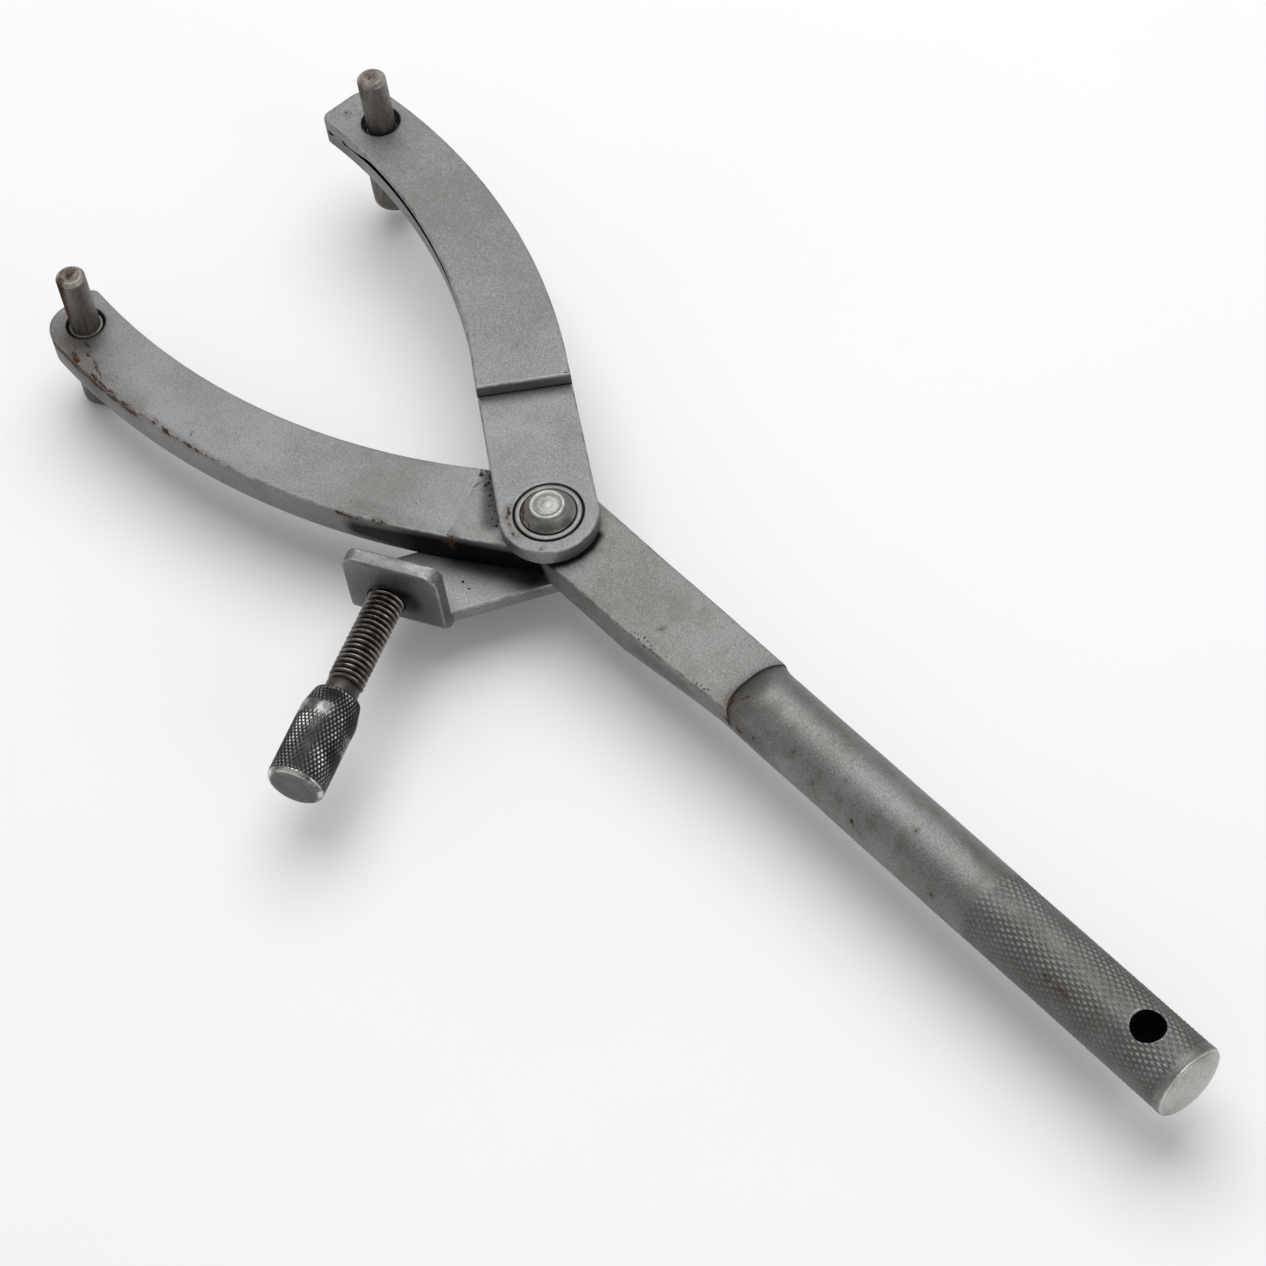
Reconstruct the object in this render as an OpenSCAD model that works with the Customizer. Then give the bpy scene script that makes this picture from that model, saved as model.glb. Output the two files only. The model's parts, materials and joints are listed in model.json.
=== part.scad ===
// Adjustable two-pin spanner: a knurled bar with a fixed jaw, a jaw that swings on
// a rivet, and a knurled screw in a bent bracket that closes the jaws.
// The origin is the middle of the hang hole, on the bar's axis. +X runs along the bar
// away from the jaws, +Z points up from the side that carries the swinging jaw.

/* [Bar] */
// Diameter of the round bar
bar_d = 16; // [15:0.5:18]
// Distance from the pivot to the middle of the hang hole
pivot_to_hole = 168; // [140:1:200]
// Length of bar beyond the hang hole
bar_end = 12.5; // [10:0.5:20]
// Diameter of the hang hole
hang_hole_d = 7; // [5:0.5:8]
// Chamfer at the end of the bar
end_chamfer = 1.2; // [0.5:0.1:2]
// Thickness of the forged flat and of the fixed jaw
flat_thick = 8; // [7:0.5:9]
// Width of the forged flat
flat_wide = 17.6; // [17:0.2:19]
// Distance from the pivot to the end of the flat's parallel part
flat_long = 30; // [24:1:36]
// Distance from the pivot to the shoulder where the bar turns round
shoulder = 57; // [50:1:64]
// Length of the ramp from the flat up to the round bar
ramp = 8; // [5:1:12]

/* [Fixed jaw] */
// Radius of the fixed jaw's outer edge
fixed_outer_r = 168; // [160:1:175]
// Radius of the fixed jaw's inner edge
fixed_inner_r = 144; // [138:1:146]
// Distance from the pivot back to the fixed jaw's tip
fixed_tip = 120.4; // [116:0.2:124]
// Width of the weld between the bar and the fixed jaw
weld_wide = 2.4; // [1.5:0.1:4]

/* [Swinging jaw] */
// Thickness of the lower plate, which carries the eye
plate_thick = 4; // [3:0.2:5]
// Thickness of the doubler plate on top of it
doubler_thick = 3.2; // [2.5:0.1:4]
// Radius of the eye around the pivot
eye_r = 10.35; // [9.5:0.05:12]
// Radius of the swinging jaw's outer edge
swing_outer_r = 144.4; // [142:0.2:147]
// Radius of the swinging jaw's inner edge
swing_inner_r = 128; // [126:0.5:129.5]
// Distance from the pivot back to the swinging jaw's tip
swing_tip = 117.4; // [114:0.2:121]

/* [Pins] */
// Diameter of the slim upper pin end
slim_d = 6.4; // [5:0.1:7]
// Diameter of the pin's body in the jaw
body_d = 8.4; // [7.6:0.1:9]
// Diameter of the thick lower pin end
thick_d = 10.2; // [9.4:0.1:11]
// Length of the slim upper pin end
slim_long = 16.3; // [12:0.1:18]
// Length of the pin's body
body_long = 7.6; // [7:0.1:8]
// Length of the thick lower pin end
thick_long = 14.8; // [10:0.2:18]
// How far the swinging jaw's pin stands out below its plate before its thick end starts
swing_pin_drop = 2.7; // [1:0.1:3.2]

/* [Screw and bracket] */
// Thickness of the bracket's sheet
sheet = 3.5; // [2.5:0.1:3.5]
// Distance from the pivot to the flange's outer face
flange_out = 25.3; // [24:0.1:27]
// Height of the flange's top edge above the bar's axis
flange_top = 11.4; // [9:0.1:12]
// Outside diameter of the screw's thread
thread_d = 7.8; // [7.4:0.1:8]
// Diameter of the knob
knob_d = 12.2; // [11:0.1:14]
// Length of the knob
knob_long = 22.2; // [20:0.2:28]
// Distance from the flange to the knob
knob_gap = 25.2; // [20:0.1:30]

/* [Pivot] */
// Diameter of the rivet in the bar
rivet_d = 10; // [9:0.5:11]
// Radial clearance of the rivet in the bar, and the gap between the plates
play = 0.05; // [0.03:0.01:0.09]

/* [Hidden] */
$fn = 96;
e = 0.01;
// Number of sides of the jaws' long arcs, and of the rings at the shoulder
arc_sides = 360;
ring_sides = 48;
// How far cutting shapes stand out beyond what they cut, and a length beyond the whole part
over = 1;
far = 400;

steel = [0.60, 0.60, 0.59];
dark_steel = [0.36, 0.34, 0.31];
rusty_steel = [0.48, 0.42, 0.36];

bar_r = bar_d / 2;
half = flat_thick / 2;
// The pivot lies a little below the bar's axis in plan
pivot_side = -3;
// The flat stands further out on the fixed jaw's side than on the other
flat_top_y = 10.8;
flat_low_y = flat_top_y - flat_wide;
bar_y = -pivot_side;
// The ramp ends this far under the round bar's surface, and reaches this far into it
ramp_under = 0.03;
ramp_lap = 0.5;
// Straight height of the shoulder's sides below the bar's axis
shoulder_lap = 1;
// Distance past the pivot at which the jaw's outer edge meets the edge of the flat
flat_start = 1.6;
flat_lap = 3;
// More than the jaws' furthest distance to the side of the pivot
jaw_reach = 80;
hole_x = pivot_to_hole;
end_x = pivot_to_hole + bar_end;

// Centres of the jaws' edge arcs, seen from the pivot
fixed_outer_c = [-105, 123];
fixed_inner_c = [-108, 114];
swing_outer_c = [-100.5, -96.2];
swing_inner_c = [-109, -95];
fixed_pin_at = [-113.1, -37];
swing_pin_at = [-106.5, 41.5];
pin_bevel = 0.8;
outer_corner = 6.5;
inner_corner = 2.2;

// The weld runs straight across the fixed jaw, beside the eye
weld_from = [-19.5, 0.5];
weld_angle = -65;
weld_sunk = 0.1;

plate_low = half + play;
plate_high = plate_low + plate_thick;
doubler_high = plate_high + doubler_thick;
// Ends of the doubler's step, on the inner and the outer edge of the jaw
step_in = [-32.7, 9.6];
step_out = [-22.2, 24.8];
// The bead that joins the two plates at the tip
tack_y = 37;
tack_r = 0.9;
tack_long = 5;

// Where the arm's straight edges leave the eye, on the outer and the inner side, and the
// distances from the pivot at which they run into the jaw's arcs
arm_outer_from = [5.4, 8.8];
arm_inner_from = [-5.5, -8.75];
arm_outer_root = 24;
arm_inner_root = 37;
// Length over which the arm and the jaw's strip overlap, and a height inside the arm there
arm_lap = 4;
arm_mid = 14;

// Square ends of the rivet, which turn the jaw and the bracket as one. Their corners lie
// inside the round shank, so that the shank fits through the bar
square = 7;
square_hole = square + 2 * play;
recess_r = 7.3;
recess_deep = 1;
washer_r = 7.2;
washer_hole_r = 5.45;
washer_high = plate_high + 0.1;
head_r = 5.8;
head_top_r = 4.65;
button_r = 3.75;
button_top_r = 2.95;
head_high = 2;
button_high = 0.9;
tail_r = 6.4;
tail_low_r = 4.9;
tail_high = 2;

bracket_angle = 28.3;
screw_s = -26.8;
screw_z = 0;
flange_left = -35.5;
flange_right = -14.2;
bend_r = sheet + 0.2;
bracket_high = -half - play;
bracket_low = bracket_high - sheet;
bracket_eye_r = 9;
// Where the bracket's slanted edges leave its eye, and the corner in the left one
bracket_left_from = [-5.6, 7.05];
bracket_left_to = [-31.4, -12.5];
bracket_right_from = [5.6, -7.04];
flange_corner = 3;
tapped_r = thread_d / 2 + play;
tip_in = 4.3;
tip_bevel = 1;
neck_d = 7.2;
neck_long = 2.8;
socket_deep = 8;
knob_cone = 4.6;
knob_lip = 1.4;
knob_edge = 0.8;

module at_pivot() translate([-hole_x, pivot_side, 0]) children();

// Keeps only the part of a flat shape beyond a corner's rounding
module corner_cut(at, r, turn) {
    translate(at) rotate(turn) difference() {
        translate([-r * 3, -r * 3]) square([r * 3, r * 3]);
        circle(r);
    }
}

// Strip of its children between two arcs, with the two corners of its tip rounded
module jaw_strip(outer_c, outer_r, inner_c, inner_r, tip, side) {
    tilt = outer_r - outer_corner;
    corner_x = -tip + outer_corner;
    rise = sqrt(tilt * tilt - pow(corner_x - outer_c.x, 2));
    corner_y = outer_c.y + side * rise;
    in_r = inner_r + inner_corner;
    in_x = -tip + inner_corner;
    in_rise = sqrt(in_r * in_r - pow(in_x - inner_c.x, 2));
    in_y = inner_c.y + side * in_rise;
    difference() {
        intersection() {
            translate(outer_c) circle(outer_r, $fn = arc_sides);
            children();
        }
        translate(inner_c) circle(inner_r, $fn = arc_sides);
        corner_cut([corner_x, corner_y], outer_corner, side > 0 ? -90 : 0);
        corner_cut([in_x, in_y], inner_corner, side > 0 ? 0 : -90);
    }
}

// Half plane on the tip side of the weld's middle line
module beyond_weld(shift) {
    translate(weld_from) rotate(weld_angle) translate([-far / 2, -far - shift]) square(far);
}

module fixed_outline() {
    jaw_strip(fixed_outer_c, fixed_outer_r, fixed_inner_c, fixed_inner_r, fixed_tip, -1)
        translate([-fixed_tip, -jaw_reach]) square([fixed_tip + flat_start, jaw_reach + flat_top_y]);
    translate([flat_start - flat_lap, flat_low_y])
        square([flat_long + e - flat_start + flat_lap, flat_wide]);
}

// Thin slice across the bar at the shoulder: round below, square above
module shoulder_slice() {
    rotate([90, 0, 90]) linear_extrude(e) translate([bar_y, 0]) {
        intersection() {
            circle(bar_r, $fn = ring_sides);
            translate([-bar_r, -bar_r]) square([bar_d, bar_r + half]);
        }
        translate([-bar_r, -shoulder_lap]) square([bar_d, half + shoulder_lap]);
    }
}

module handle_bar() {
    color(steel) at_pivot() difference() {
        union() {
            translate([shoulder + ramp, bar_y, 0]) rotate([0, 90, 0])
                cylinder(r = bar_r, h = end_x - shoulder - ramp - end_chamfer);
            translate([end_x - end_chamfer, bar_y, 0]) rotate([0, 90, 0])
                cylinder(r1 = bar_r, r2 = bar_r - end_chamfer, h = end_chamfer);
            hull() {
                translate([flat_long, flat_low_y, -half]) cube([e, flat_wide, flat_thick]);
                translate([shoulder, 0, 0]) shoulder_slice();
            }
            hull() {
                translate([shoulder, 0, 0]) shoulder_slice();
                translate([shoulder + ramp, bar_y, 0]) rotate([0, 90, 0])
                    cylinder(r = bar_r - ramp_under, h = ramp_lap, $fn = ring_sides);
            }
            translate([0, 0, -half]) linear_extrude(flat_thick) difference() {
                fixed_outline();
                beyond_weld(-weld_wide / 2);
            }
        }
        translate([hole_x, bar_y, -bar_r - over]) cylinder(d = hang_hole_d, h = bar_d + 2 * over);
        translate([0, 0, -half - over]) cylinder(r = rivet_d / 2 + play, h = flat_thick + 2 * over);
    }
}

module fixed_jaw() {
    color(steel) at_pivot() difference() {
        translate([0, 0, -half]) linear_extrude(flat_thick) intersection() {
            fixed_outline();
            beyond_weld(weld_wide / 2);
        }
        translate([fixed_pin_at.x, fixed_pin_at.y, -half - over])
            cylinder(d = body_d, h = flat_thick + 2 * over);
    }
}

module jaw_weld() {
    color(dark_steel) at_pivot() translate([0, 0, -half + weld_sunk])
        linear_extrude(flat_thick - 2 * weld_sunk) difference() {
            intersection() {
                fixed_outline();
                beyond_weld(-weld_wide / 2);
            }
            beyond_weld(weld_wide / 2);
        }
}

// Stepped pin with a slim upper end and a thick lower end; its shoulder is at z = 0
module stepped_pin() {
    color(rusty_steel) {
        translate([0, 0, -thick_long]) {
            cylinder(d1 = thick_d - 2 * pin_bevel, d2 = thick_d, h = pin_bevel);
            translate([0, 0, pin_bevel]) cylinder(d = thick_d, h = thick_long - pin_bevel);
        }
        cylinder(d = body_d, h = body_long);
        translate([0, 0, body_long]) {
            cylinder(d = slim_d, h = slim_long - pin_bevel);
            translate([0, 0, slim_long - pin_bevel])
                cylinder(d1 = slim_d, d2 = slim_d - 2 * pin_bevel, h = pin_bevel);
        }
    }
}

module fixed_pin() {
    at_pivot() translate([fixed_pin_at.x, fixed_pin_at.y, -half]) stepped_pin();
}

module swing_pin() {
    at_pivot() translate([swing_pin_at.x, swing_pin_at.y, plate_low - swing_pin_drop]) stepped_pin();
}

// Height of a jaw's edge arc, and of the line from one point towards another, at a distance x
function arc_y(c, r, x) = c.y + sqrt(r * r - pow(x - c.x, 2));
function line_y(from, to, x) = from.y + (to.y - from.y) * (x - from.x) / (to.x - from.x);

// Curved end of the swinging jaw and its straight arm, without the eye
module swing_outline() {
    outer_to = [-arm_outer_root, arc_y(swing_outer_c, swing_outer_r, -arm_outer_root)];
    inner_to = [-arm_inner_root, arc_y(swing_inner_c, swing_inner_r, -arm_inner_root)];
    inner_end = -arm_inner_root - arm_lap;
    outer_end = -arm_outer_root - arm_lap;
    strip_end = outer_end + arm_lap / 4;
    jaw_strip(swing_outer_c, swing_outer_r, swing_inner_c, swing_inner_r, swing_tip, 1)
        polygon([[-swing_tip, 0], [-swing_tip, jaw_reach], [strip_end, jaw_reach],
            [strip_end, arm_mid], [0, 0], arm_inner_from,
            [inner_end, line_y(arm_inner_from, inner_to, inner_end)], [inner_end, 0]]);
    polygon([arm_outer_from, [outer_end, line_y(arm_outer_from, outer_to, outer_end)],
        [outer_end, arm_mid - arm_lap / 2], [0, -arm_lap / 2]]);
}

// Everything on the tip side of the doubler's step
module beyond_step() {
    lead = (step_out - step_in) / norm(step_out - step_in);
    low = step_in - jaw_reach * lead;
    high = step_out + jaw_reach * lead;
    back = [-lead.y, lead.x] * far;
    polygon([low, high, high + back, low + back]);
}

module swing_plate() {
    color(steel) at_pivot() difference() {
        translate([0, 0, plate_low]) linear_extrude(plate_thick) union() {
            swing_outline();
            circle(eye_r);
        }
        translate([swing_pin_at.x, swing_pin_at.y, 0]) cylinder(d = body_d, h = doubler_high);
        translate([0, 0, plate_high - recess_deep]) cylinder(r = recess_r, h = recess_deep + over);
        translate([-square_hole / 2, -square_hole / 2, 0]) cube([square_hole, square_hole, plate_high]);
    }
}

module doubler_plate() {
    color(steel) at_pivot() difference() {
        translate([0, 0, plate_high]) linear_extrude(doubler_thick) intersection() {
            swing_outline();
            beyond_step();
        }
        translate([swing_pin_at.x, swing_pin_at.y, 0]) cylinder(d = body_d, h = doubler_high + over);
    }
}

// Small weld bead that joins the two plates at the tip's end
module tack_weld() {
    color(dark_steel) at_pivot() translate([-swing_tip, tack_y, plate_high]) rotate([90, 0, 0])
        difference() {
            translate([0, 0, -tack_long / 2]) cylinder(r = tack_r, h = tack_long);
            translate([0, -tack_r - over, -tack_long / 2 - over])
                cube([tack_r + over, 2 * (tack_r + over), tack_long + 2 * over]);
        }
}

module pivot_rivet() {
    color(steel) at_pivot() {
        translate([0, 0, -half]) cylinder(d = rivet_d, h = flat_thick);
        translate([-square / 2, -square / 2, bracket_low - e])
            cube([square, square, washer_high - bracket_low + 2 * e]);
        translate([0, 0, washer_high]) cylinder(r1 = head_r, r2 = head_top_r, h = head_high);
        translate([0, 0, washer_high + head_high])
            cylinder(r1 = button_r, r2 = button_top_r, h = button_high);
        translate([0, 0, bracket_low - tail_high]) cylinder(r1 = tail_low_r, r2 = tail_r, h = tail_high);
    }
}

module pivot_washer() {
    color(steel) at_pivot() translate([0, 0, plate_high - recess_deep]) difference() {
        cylinder(r = washer_r, h = washer_high - plate_high + recess_deep);
        translate([0, 0, -over]) cylinder(r = washer_hole_r, h = recess_deep + 3 * over);
    }
}

module screw_frame() at_pivot() rotate(bracket_angle) children();

module screw_bracket() {
    wide = flange_right - flange_left;
    color(steel) screw_frame() difference() {
        union() {
            translate([0, 0, bracket_low]) linear_extrude(sheet) union() {
                circle(bracket_eye_r);
                polygon([bracket_left_from, bracket_left_to, [flange_left, -flange_out + bend_r],
                    [flange_right, -flange_out + bend_r], bracket_right_from]);
            }
            translate([flange_left, -flange_out + bend_r, bracket_low + bend_r]) intersection() {
                rotate([0, 90, 0]) difference() {
                    cylinder(r = bend_r, h = wide);
                    translate([0, 0, -over]) cylinder(r = bend_r - sheet, h = wide + 2 * over);
                }
                translate([-over, -bend_r, -bend_r]) cube([wide + 2 * over, bend_r, bend_r]);
            }
            translate([0, -flange_out + sheet, 0]) rotate([90, 0, 0]) linear_extrude(sheet)
                flange_outline();
        }
        translate([screw_s, -flange_out - over, screw_z]) rotate([-90, 0, 0])
            cylinder(r = tapped_r, h = sheet + 2 * over);
        rotate(-bracket_angle) translate([-square_hole / 2, -square_hole / 2, bracket_low - over])
            cube([square_hole, square_hole, sheet + 2 * over]);
    }
}

// Upright flange seen from outside, with its two upper corners rounded
module flange_outline() {
    r = flange_corner;
    low = bracket_low + bend_r;
    translate([flange_left, low]) square([flange_right - flange_left, flange_top - r - low]);
    translate([flange_left + r, low]) square([flange_right - flange_left - 2 * r, flange_top - low]);
    for (x = [flange_left + r, flange_right - r]) translate([x, flange_top - r]) circle(r);
}

// Screw axis: z runs from the flange's outer face out to the knob
module on_screw_axis() {
    screw_frame() translate([screw_s, -flange_out, screw_z]) rotate([90, 0, 0]) children();
}

module adjusting_screw() {
    thread_end = knob_gap - neck_long;
    color(dark_steel) on_screw_axis() {
        translate([0, 0, -tip_in]) cylinder(d1 = thread_d - 2 * tip_bevel, d2 = thread_d, h = tip_bevel);
        translate([0, 0, tip_bevel - tip_in]) cylinder(d = thread_d, h = thread_end + tip_in - tip_bevel);
        translate([0, 0, thread_end]) cylinder(d = neck_d, h = neck_long + socket_deep);
    }
}

module knob() {
    knob_r = knob_d / 2;
    color(dark_steel) on_screw_axis() translate([0, 0, knob_gap]) difference() {
        union() {
            cylinder(r1 = neck_d / 2 + knob_lip, r2 = knob_r, h = knob_cone);
            translate([0, 0, knob_cone]) cylinder(r = knob_r, h = knob_long - knob_cone - knob_edge);
            translate([0, 0, knob_long - knob_edge])
                cylinder(r1 = knob_r, r2 = knob_r - knob_edge, h = knob_edge);
        }
        translate([0, 0, -over]) cylinder(d = neck_d + 2 * play, h = socket_deep + over + play);
    }
}

handle_bar();
fixed_jaw();
jaw_weld();
fixed_pin();
swing_plate();
doubler_plate();
tack_weld();
swing_pin();
pivot_rivet();
pivot_washer();
screw_bracket();
adjusting_screw();
knob();
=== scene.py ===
import json
import math

import bmesh
import bpy
from mathutils import Matrix, Vector, noise


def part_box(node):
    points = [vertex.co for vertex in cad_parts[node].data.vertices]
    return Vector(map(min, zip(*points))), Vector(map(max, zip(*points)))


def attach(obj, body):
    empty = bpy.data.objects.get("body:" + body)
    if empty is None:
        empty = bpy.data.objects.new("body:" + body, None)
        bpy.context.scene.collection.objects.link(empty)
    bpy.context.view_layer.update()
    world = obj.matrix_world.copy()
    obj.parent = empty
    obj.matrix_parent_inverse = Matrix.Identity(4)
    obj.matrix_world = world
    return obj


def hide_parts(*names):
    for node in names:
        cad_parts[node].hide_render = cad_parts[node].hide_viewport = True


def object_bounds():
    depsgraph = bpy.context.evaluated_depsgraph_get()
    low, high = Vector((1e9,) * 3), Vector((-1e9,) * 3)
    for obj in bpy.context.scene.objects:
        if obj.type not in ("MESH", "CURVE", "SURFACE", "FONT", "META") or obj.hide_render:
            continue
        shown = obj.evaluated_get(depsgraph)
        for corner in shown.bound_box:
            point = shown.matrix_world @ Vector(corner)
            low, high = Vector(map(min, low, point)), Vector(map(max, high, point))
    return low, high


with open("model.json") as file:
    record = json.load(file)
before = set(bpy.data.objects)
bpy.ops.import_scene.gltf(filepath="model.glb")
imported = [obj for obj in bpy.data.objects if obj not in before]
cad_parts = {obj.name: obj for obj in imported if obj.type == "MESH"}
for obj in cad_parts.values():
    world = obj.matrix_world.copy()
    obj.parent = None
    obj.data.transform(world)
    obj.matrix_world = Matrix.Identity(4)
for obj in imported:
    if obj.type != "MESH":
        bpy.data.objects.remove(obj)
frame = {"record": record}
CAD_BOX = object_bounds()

# Adjustable two-pin spanner. Shapes are given in millimetres from the pivot, with x along
# the bar towards the hang hole, y towards the swinging jaw and z up.

MM = 0.001
JOINTS = {j["name"]: j for j in frame["record"]["behaviour"]["joints"]}
PIVOT = Vector(JOINTS["jaw_pivot"]["pos_m"])
SCREW_OUT = -Vector(JOINTS["knob_turn"]["axis"])

# Bar
BAR_AXIS_Y = 3.0
BAR_R = 8.0
FLAT_HALF = 4.0
FLAT_LOW_Y, FLAT_HIGH_Y = -6.8, 10.8
FLAT_LONG = 30.0
SHOULDER_X = 57.0
RAMP = 8.0
KNURL_FROM, KNURL_TO = 124.5, 178.0
KNURL_DEPTH = 0.30
BAR_TEETH = 40
SAMPLES_PER_TOOTH = 6
# Angle between each set of knurling grooves and the axis
KNURL_ANGLE = math.radians(30)
END_DOME = 1.5
HANG_HOLE_R = 3.5
RIVET_HOLE_R = 5.05

# Edge arcs of the jaws, as centre and radius
FIXED_OUTER = ((-105.0, 123.0), 168.0)
FIXED_INNER = ((-108.0, 114.0), 144.0)
SWING_OUTER = ((-100.5, -96.2), 144.4)
SWING_INNER = ((-109.0, -95.0), 128.0)
OUTER_CORNER, INNER_CORNER = 6.5, 2.2
EYE_R = 10.35
ARM_OUTER = ((5.4, 8.8), -24.0)
ARM_INNER = ((-5.5, -8.75), -37.0)
STEP_IN, STEP_OUT = (-32.7, 9.6), (-22.2, 24.8)
WELD_FROM, WELD_ANGLE, WELD_WIDE = (-19.5, 0.5), math.radians(-65), 2.4
# How far the weld laps over the plates, and how far its CAD node lies under their faces
WELD_LAP, WELD_SUNK = 0.7, 0.1
PIN_HOLE_R = 4.3
# Recess of the washer in the eye, and the hole below it
RECESS_R, EYE_HOLE_R = 7.35, 5.0
# Flat rim that joins a rounded edge to the cap beside it, and radius that ends a turned face
LIP = 0.25
CENTRE = 0.05
# Middle of the tack weld, and the ends of the crevice that climbs beside it
TACK_AT, TACK_HALF = (-111.5, 32.2), 2.6
GAPE_FROM, GAPE_TO = -108.0, -52.0
# Near the tip of the swinging jaw, its inner edge lies below this y and its outer edge above
INNER_BELOW_Y = 36
# Half the width of the rivet's hidden ends
SQUARE_HALF = 3.8

# Bracket, in its own frame: x along the flange, -y out through it
SCREW_S = -26.8
FLANGE_OUT = 25.3
FLANGE_LEFT, FLANGE_RIGHT = -35.5, -14.2
SHEET = 3.5
BEND_R = SHEET + 0.2
BRACKET_EYE_R = 9.0
FLANGE_CORNER = 3.0
TAPPED_R = 3.95

# Screw and knob, along the screw's axis from the flange's outer face
THREAD_R, THREAD_DEPTH, PITCH = 3.9, 0.62, 1.25
TIP_IN = 4.3
NECK_R, NECK_LONG = 3.6, 2.8
KNOB_AT, KNOB_LONG, KNOB_R = 25.2, 22.2, 6.1
KNOB_CONE, KNOB_LIP = 4.6, 1.4
KNOB_TEETH, KNOB_KNURL_DEPTH = 40, 0.30
# Middle of the patch that the knurling wheel missed, and how deep the screw goes into the knob
SMOOTH_PATCH = math.radians(150)
SOCKET = 5

AT_PIVOT = Matrix.Translation(PIVOT) @ Matrix.Scale(MM, 4)
BRACKET_TURN = math.atan2(SCREW_OUT.x, -SCREW_OUT.y)
IN_BRACKET = (Matrix.Translation(PIVOT) @ Matrix.Rotation(BRACKET_TURN, 4, "Z")
              @ Matrix.Scale(MM, 4))
ON_SCREW = (IN_BRACKET @ Matrix.Translation((SCREW_S, -FLANGE_OUT, 0))
            @ Matrix.Rotation(math.pi / 2, 4, "X"))


def node_box(node):
    """A CAD node's lowest and highest corner, in millimetres from the pivot."""
    return [(Vector(corner) - PIVOT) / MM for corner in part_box(node)]


# ---------------------------------------------------------------- meshes


class Shape:
    """Vertices with their wear and their dirt and painted shade, and faces, before they become a
    mesh.
    """

    def __init__(self):
        self.verts, self.faces, self.wear, self.grime_and_shade = [], [], [], []

    def add(self, point, wear=0.0, grime_and_shade=0.0):
        self.verts.append(Vector(point))
        self.wear.append(wear)
        self.grime_and_shade.append(grime_and_shade)
        return len(self.verts) - 1

    def ring(self, points):
        """Adds a ring of (x, y, z) or (x, y, z, wear, dirt and shade) points and returns its
        indices.
        """
        return [self.add(p[:3], *p[3:]) for p in points]

    def bridge(self, a, b):
        n = len(a)
        for i in range(n):
            self.faces.append((a[i], a[(i + 1) % n], b[(i + 1) % n], b[i]))

    def tube(self, rings):
        """Closed tube through rings of equally many points, with a flat cap at each end."""
        made = [self.ring(r) for r in rings]
        for a, b in zip(made, made[1:]):
            self.bridge(a, b)
        self.faces.append(tuple(made[0]))
        self.faces.append(tuple(made[-1]))
        return self


def circle(sides):
    """Cosine and sine of equal steps around a circle."""
    angles = [2 * math.pi * i / sides for i in range(sides)]
    return [(math.cos(a), math.sin(a)) for a in angles]


def turned(profile, sides):
    """Rings about z through a profile of (r, z, wear, dirt and shade) points."""
    return [[(r * c, r * s, z, *worn) for c, s in circle(sides)] for r, z, *worn in profile]


def lathe(profile, sides):
    """Turned shape about z, with a flat cap at each end of its profile."""
    return Shape().tube(turned(profile, sides))


def add_object(name, data):
    made = bpy.data.objects.new(name, data)
    bpy.context.scene.collection.objects.link(made)
    return made


def finish_piece(name, shape, to_frame, body, nodes, material, crease=40):
    """Makes the object, rides it on its body and lets it stand for its CAD nodes."""
    mesh = bpy.data.meshes.new(name)
    mesh.from_pydata([to_frame @ v for v in shape.verts], [], shape.faces)
    # The second attribute darkens the colour: dirt, and painted shade in recesses, crevices and
    # gaps.
    for label, values in (("wear", shape.wear), ("grime_and_shade", shape.grime_and_shade)):
        mesh.attributes.new(label, "FLOAT", "POINT").data.foreach_set("value", values)
    bm = bmesh.new()
    bm.from_mesh(mesh)
    bmesh.ops.remove_doubles(bm, verts=bm.verts, dist=2e-6)
    bmesh.ops.recalc_face_normals(bm, faces=bm.faces)
    bm.to_mesh(mesh)
    bm.free()
    mesh.polygons.foreach_set("use_smooth", [True] * len(mesh.polygons))
    mesh.set_sharp_from_angle(angle=math.radians(crease))
    piece = add_object(name, mesh)
    mesh.materials.append(material)
    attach(piece, body)
    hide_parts(*nodes)
    return piece


def cut(piece, cutter_shape, to_frame, material):
    """Cuts a closed shape out of a piece and applies the cut. Its walls get the material."""
    mesh = bpy.data.meshes.new("cutter")
    mesh.from_pydata([to_frame @ v for v in cutter_shape.verts], [], cutter_shape.faces)
    bm = bmesh.new()
    bm.from_mesh(mesh)
    bmesh.ops.recalc_face_normals(bm, faces=bm.faces)
    bm.to_mesh(mesh)
    bm.free()
    mesh.materials.append(material)
    mesh.polygons.foreach_set("use_smooth", [True] * len(mesh.polygons))
    cutter = add_object("cutter", mesh)
    boolean = piece.modifiers.new("cut", "BOOLEAN")
    boolean.operation = "DIFFERENCE"
    boolean.solver = "EXACT"
    boolean.material_mode = "TRANSFER"
    boolean.object = cutter
    depsgraph = bpy.context.evaluated_depsgraph_get()
    cut_mesh = bpy.data.meshes.new_from_object(piece.evaluated_get(depsgraph))
    piece.modifiers.clear()
    old = piece.data
    piece.data = cut_mesh
    cut_mesh.name = piece.name
    bpy.data.meshes.remove(old)
    bpy.data.objects.remove(cutter)
    bpy.data.meshes.remove(mesh)
    cut_mesh.set_sharp_from_angle(angle=math.radians(40))


# ---------------------------------------------------------------- outlines


def arc(centre, radius, start, stop, step=0.9):
    """Points on an arc between two angles, both ends in, about one step apart."""
    n = max(3, round(abs(stop - start) * radius / step))
    angles = [start + (stop - start) * i / n for i in range(n + 1)]
    return [(centre[0] + radius * math.cos(a), centre[1] + radius * math.sin(a)) for a in angles]


def line(a, b, step=0.9):
    n = max(1, round(math.dist(a, b) / step))
    return [(a[0] + (b[0] - a[0]) * i / n, a[1] + (b[1] - a[1]) * i / n) for i in range(n + 1)]


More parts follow.
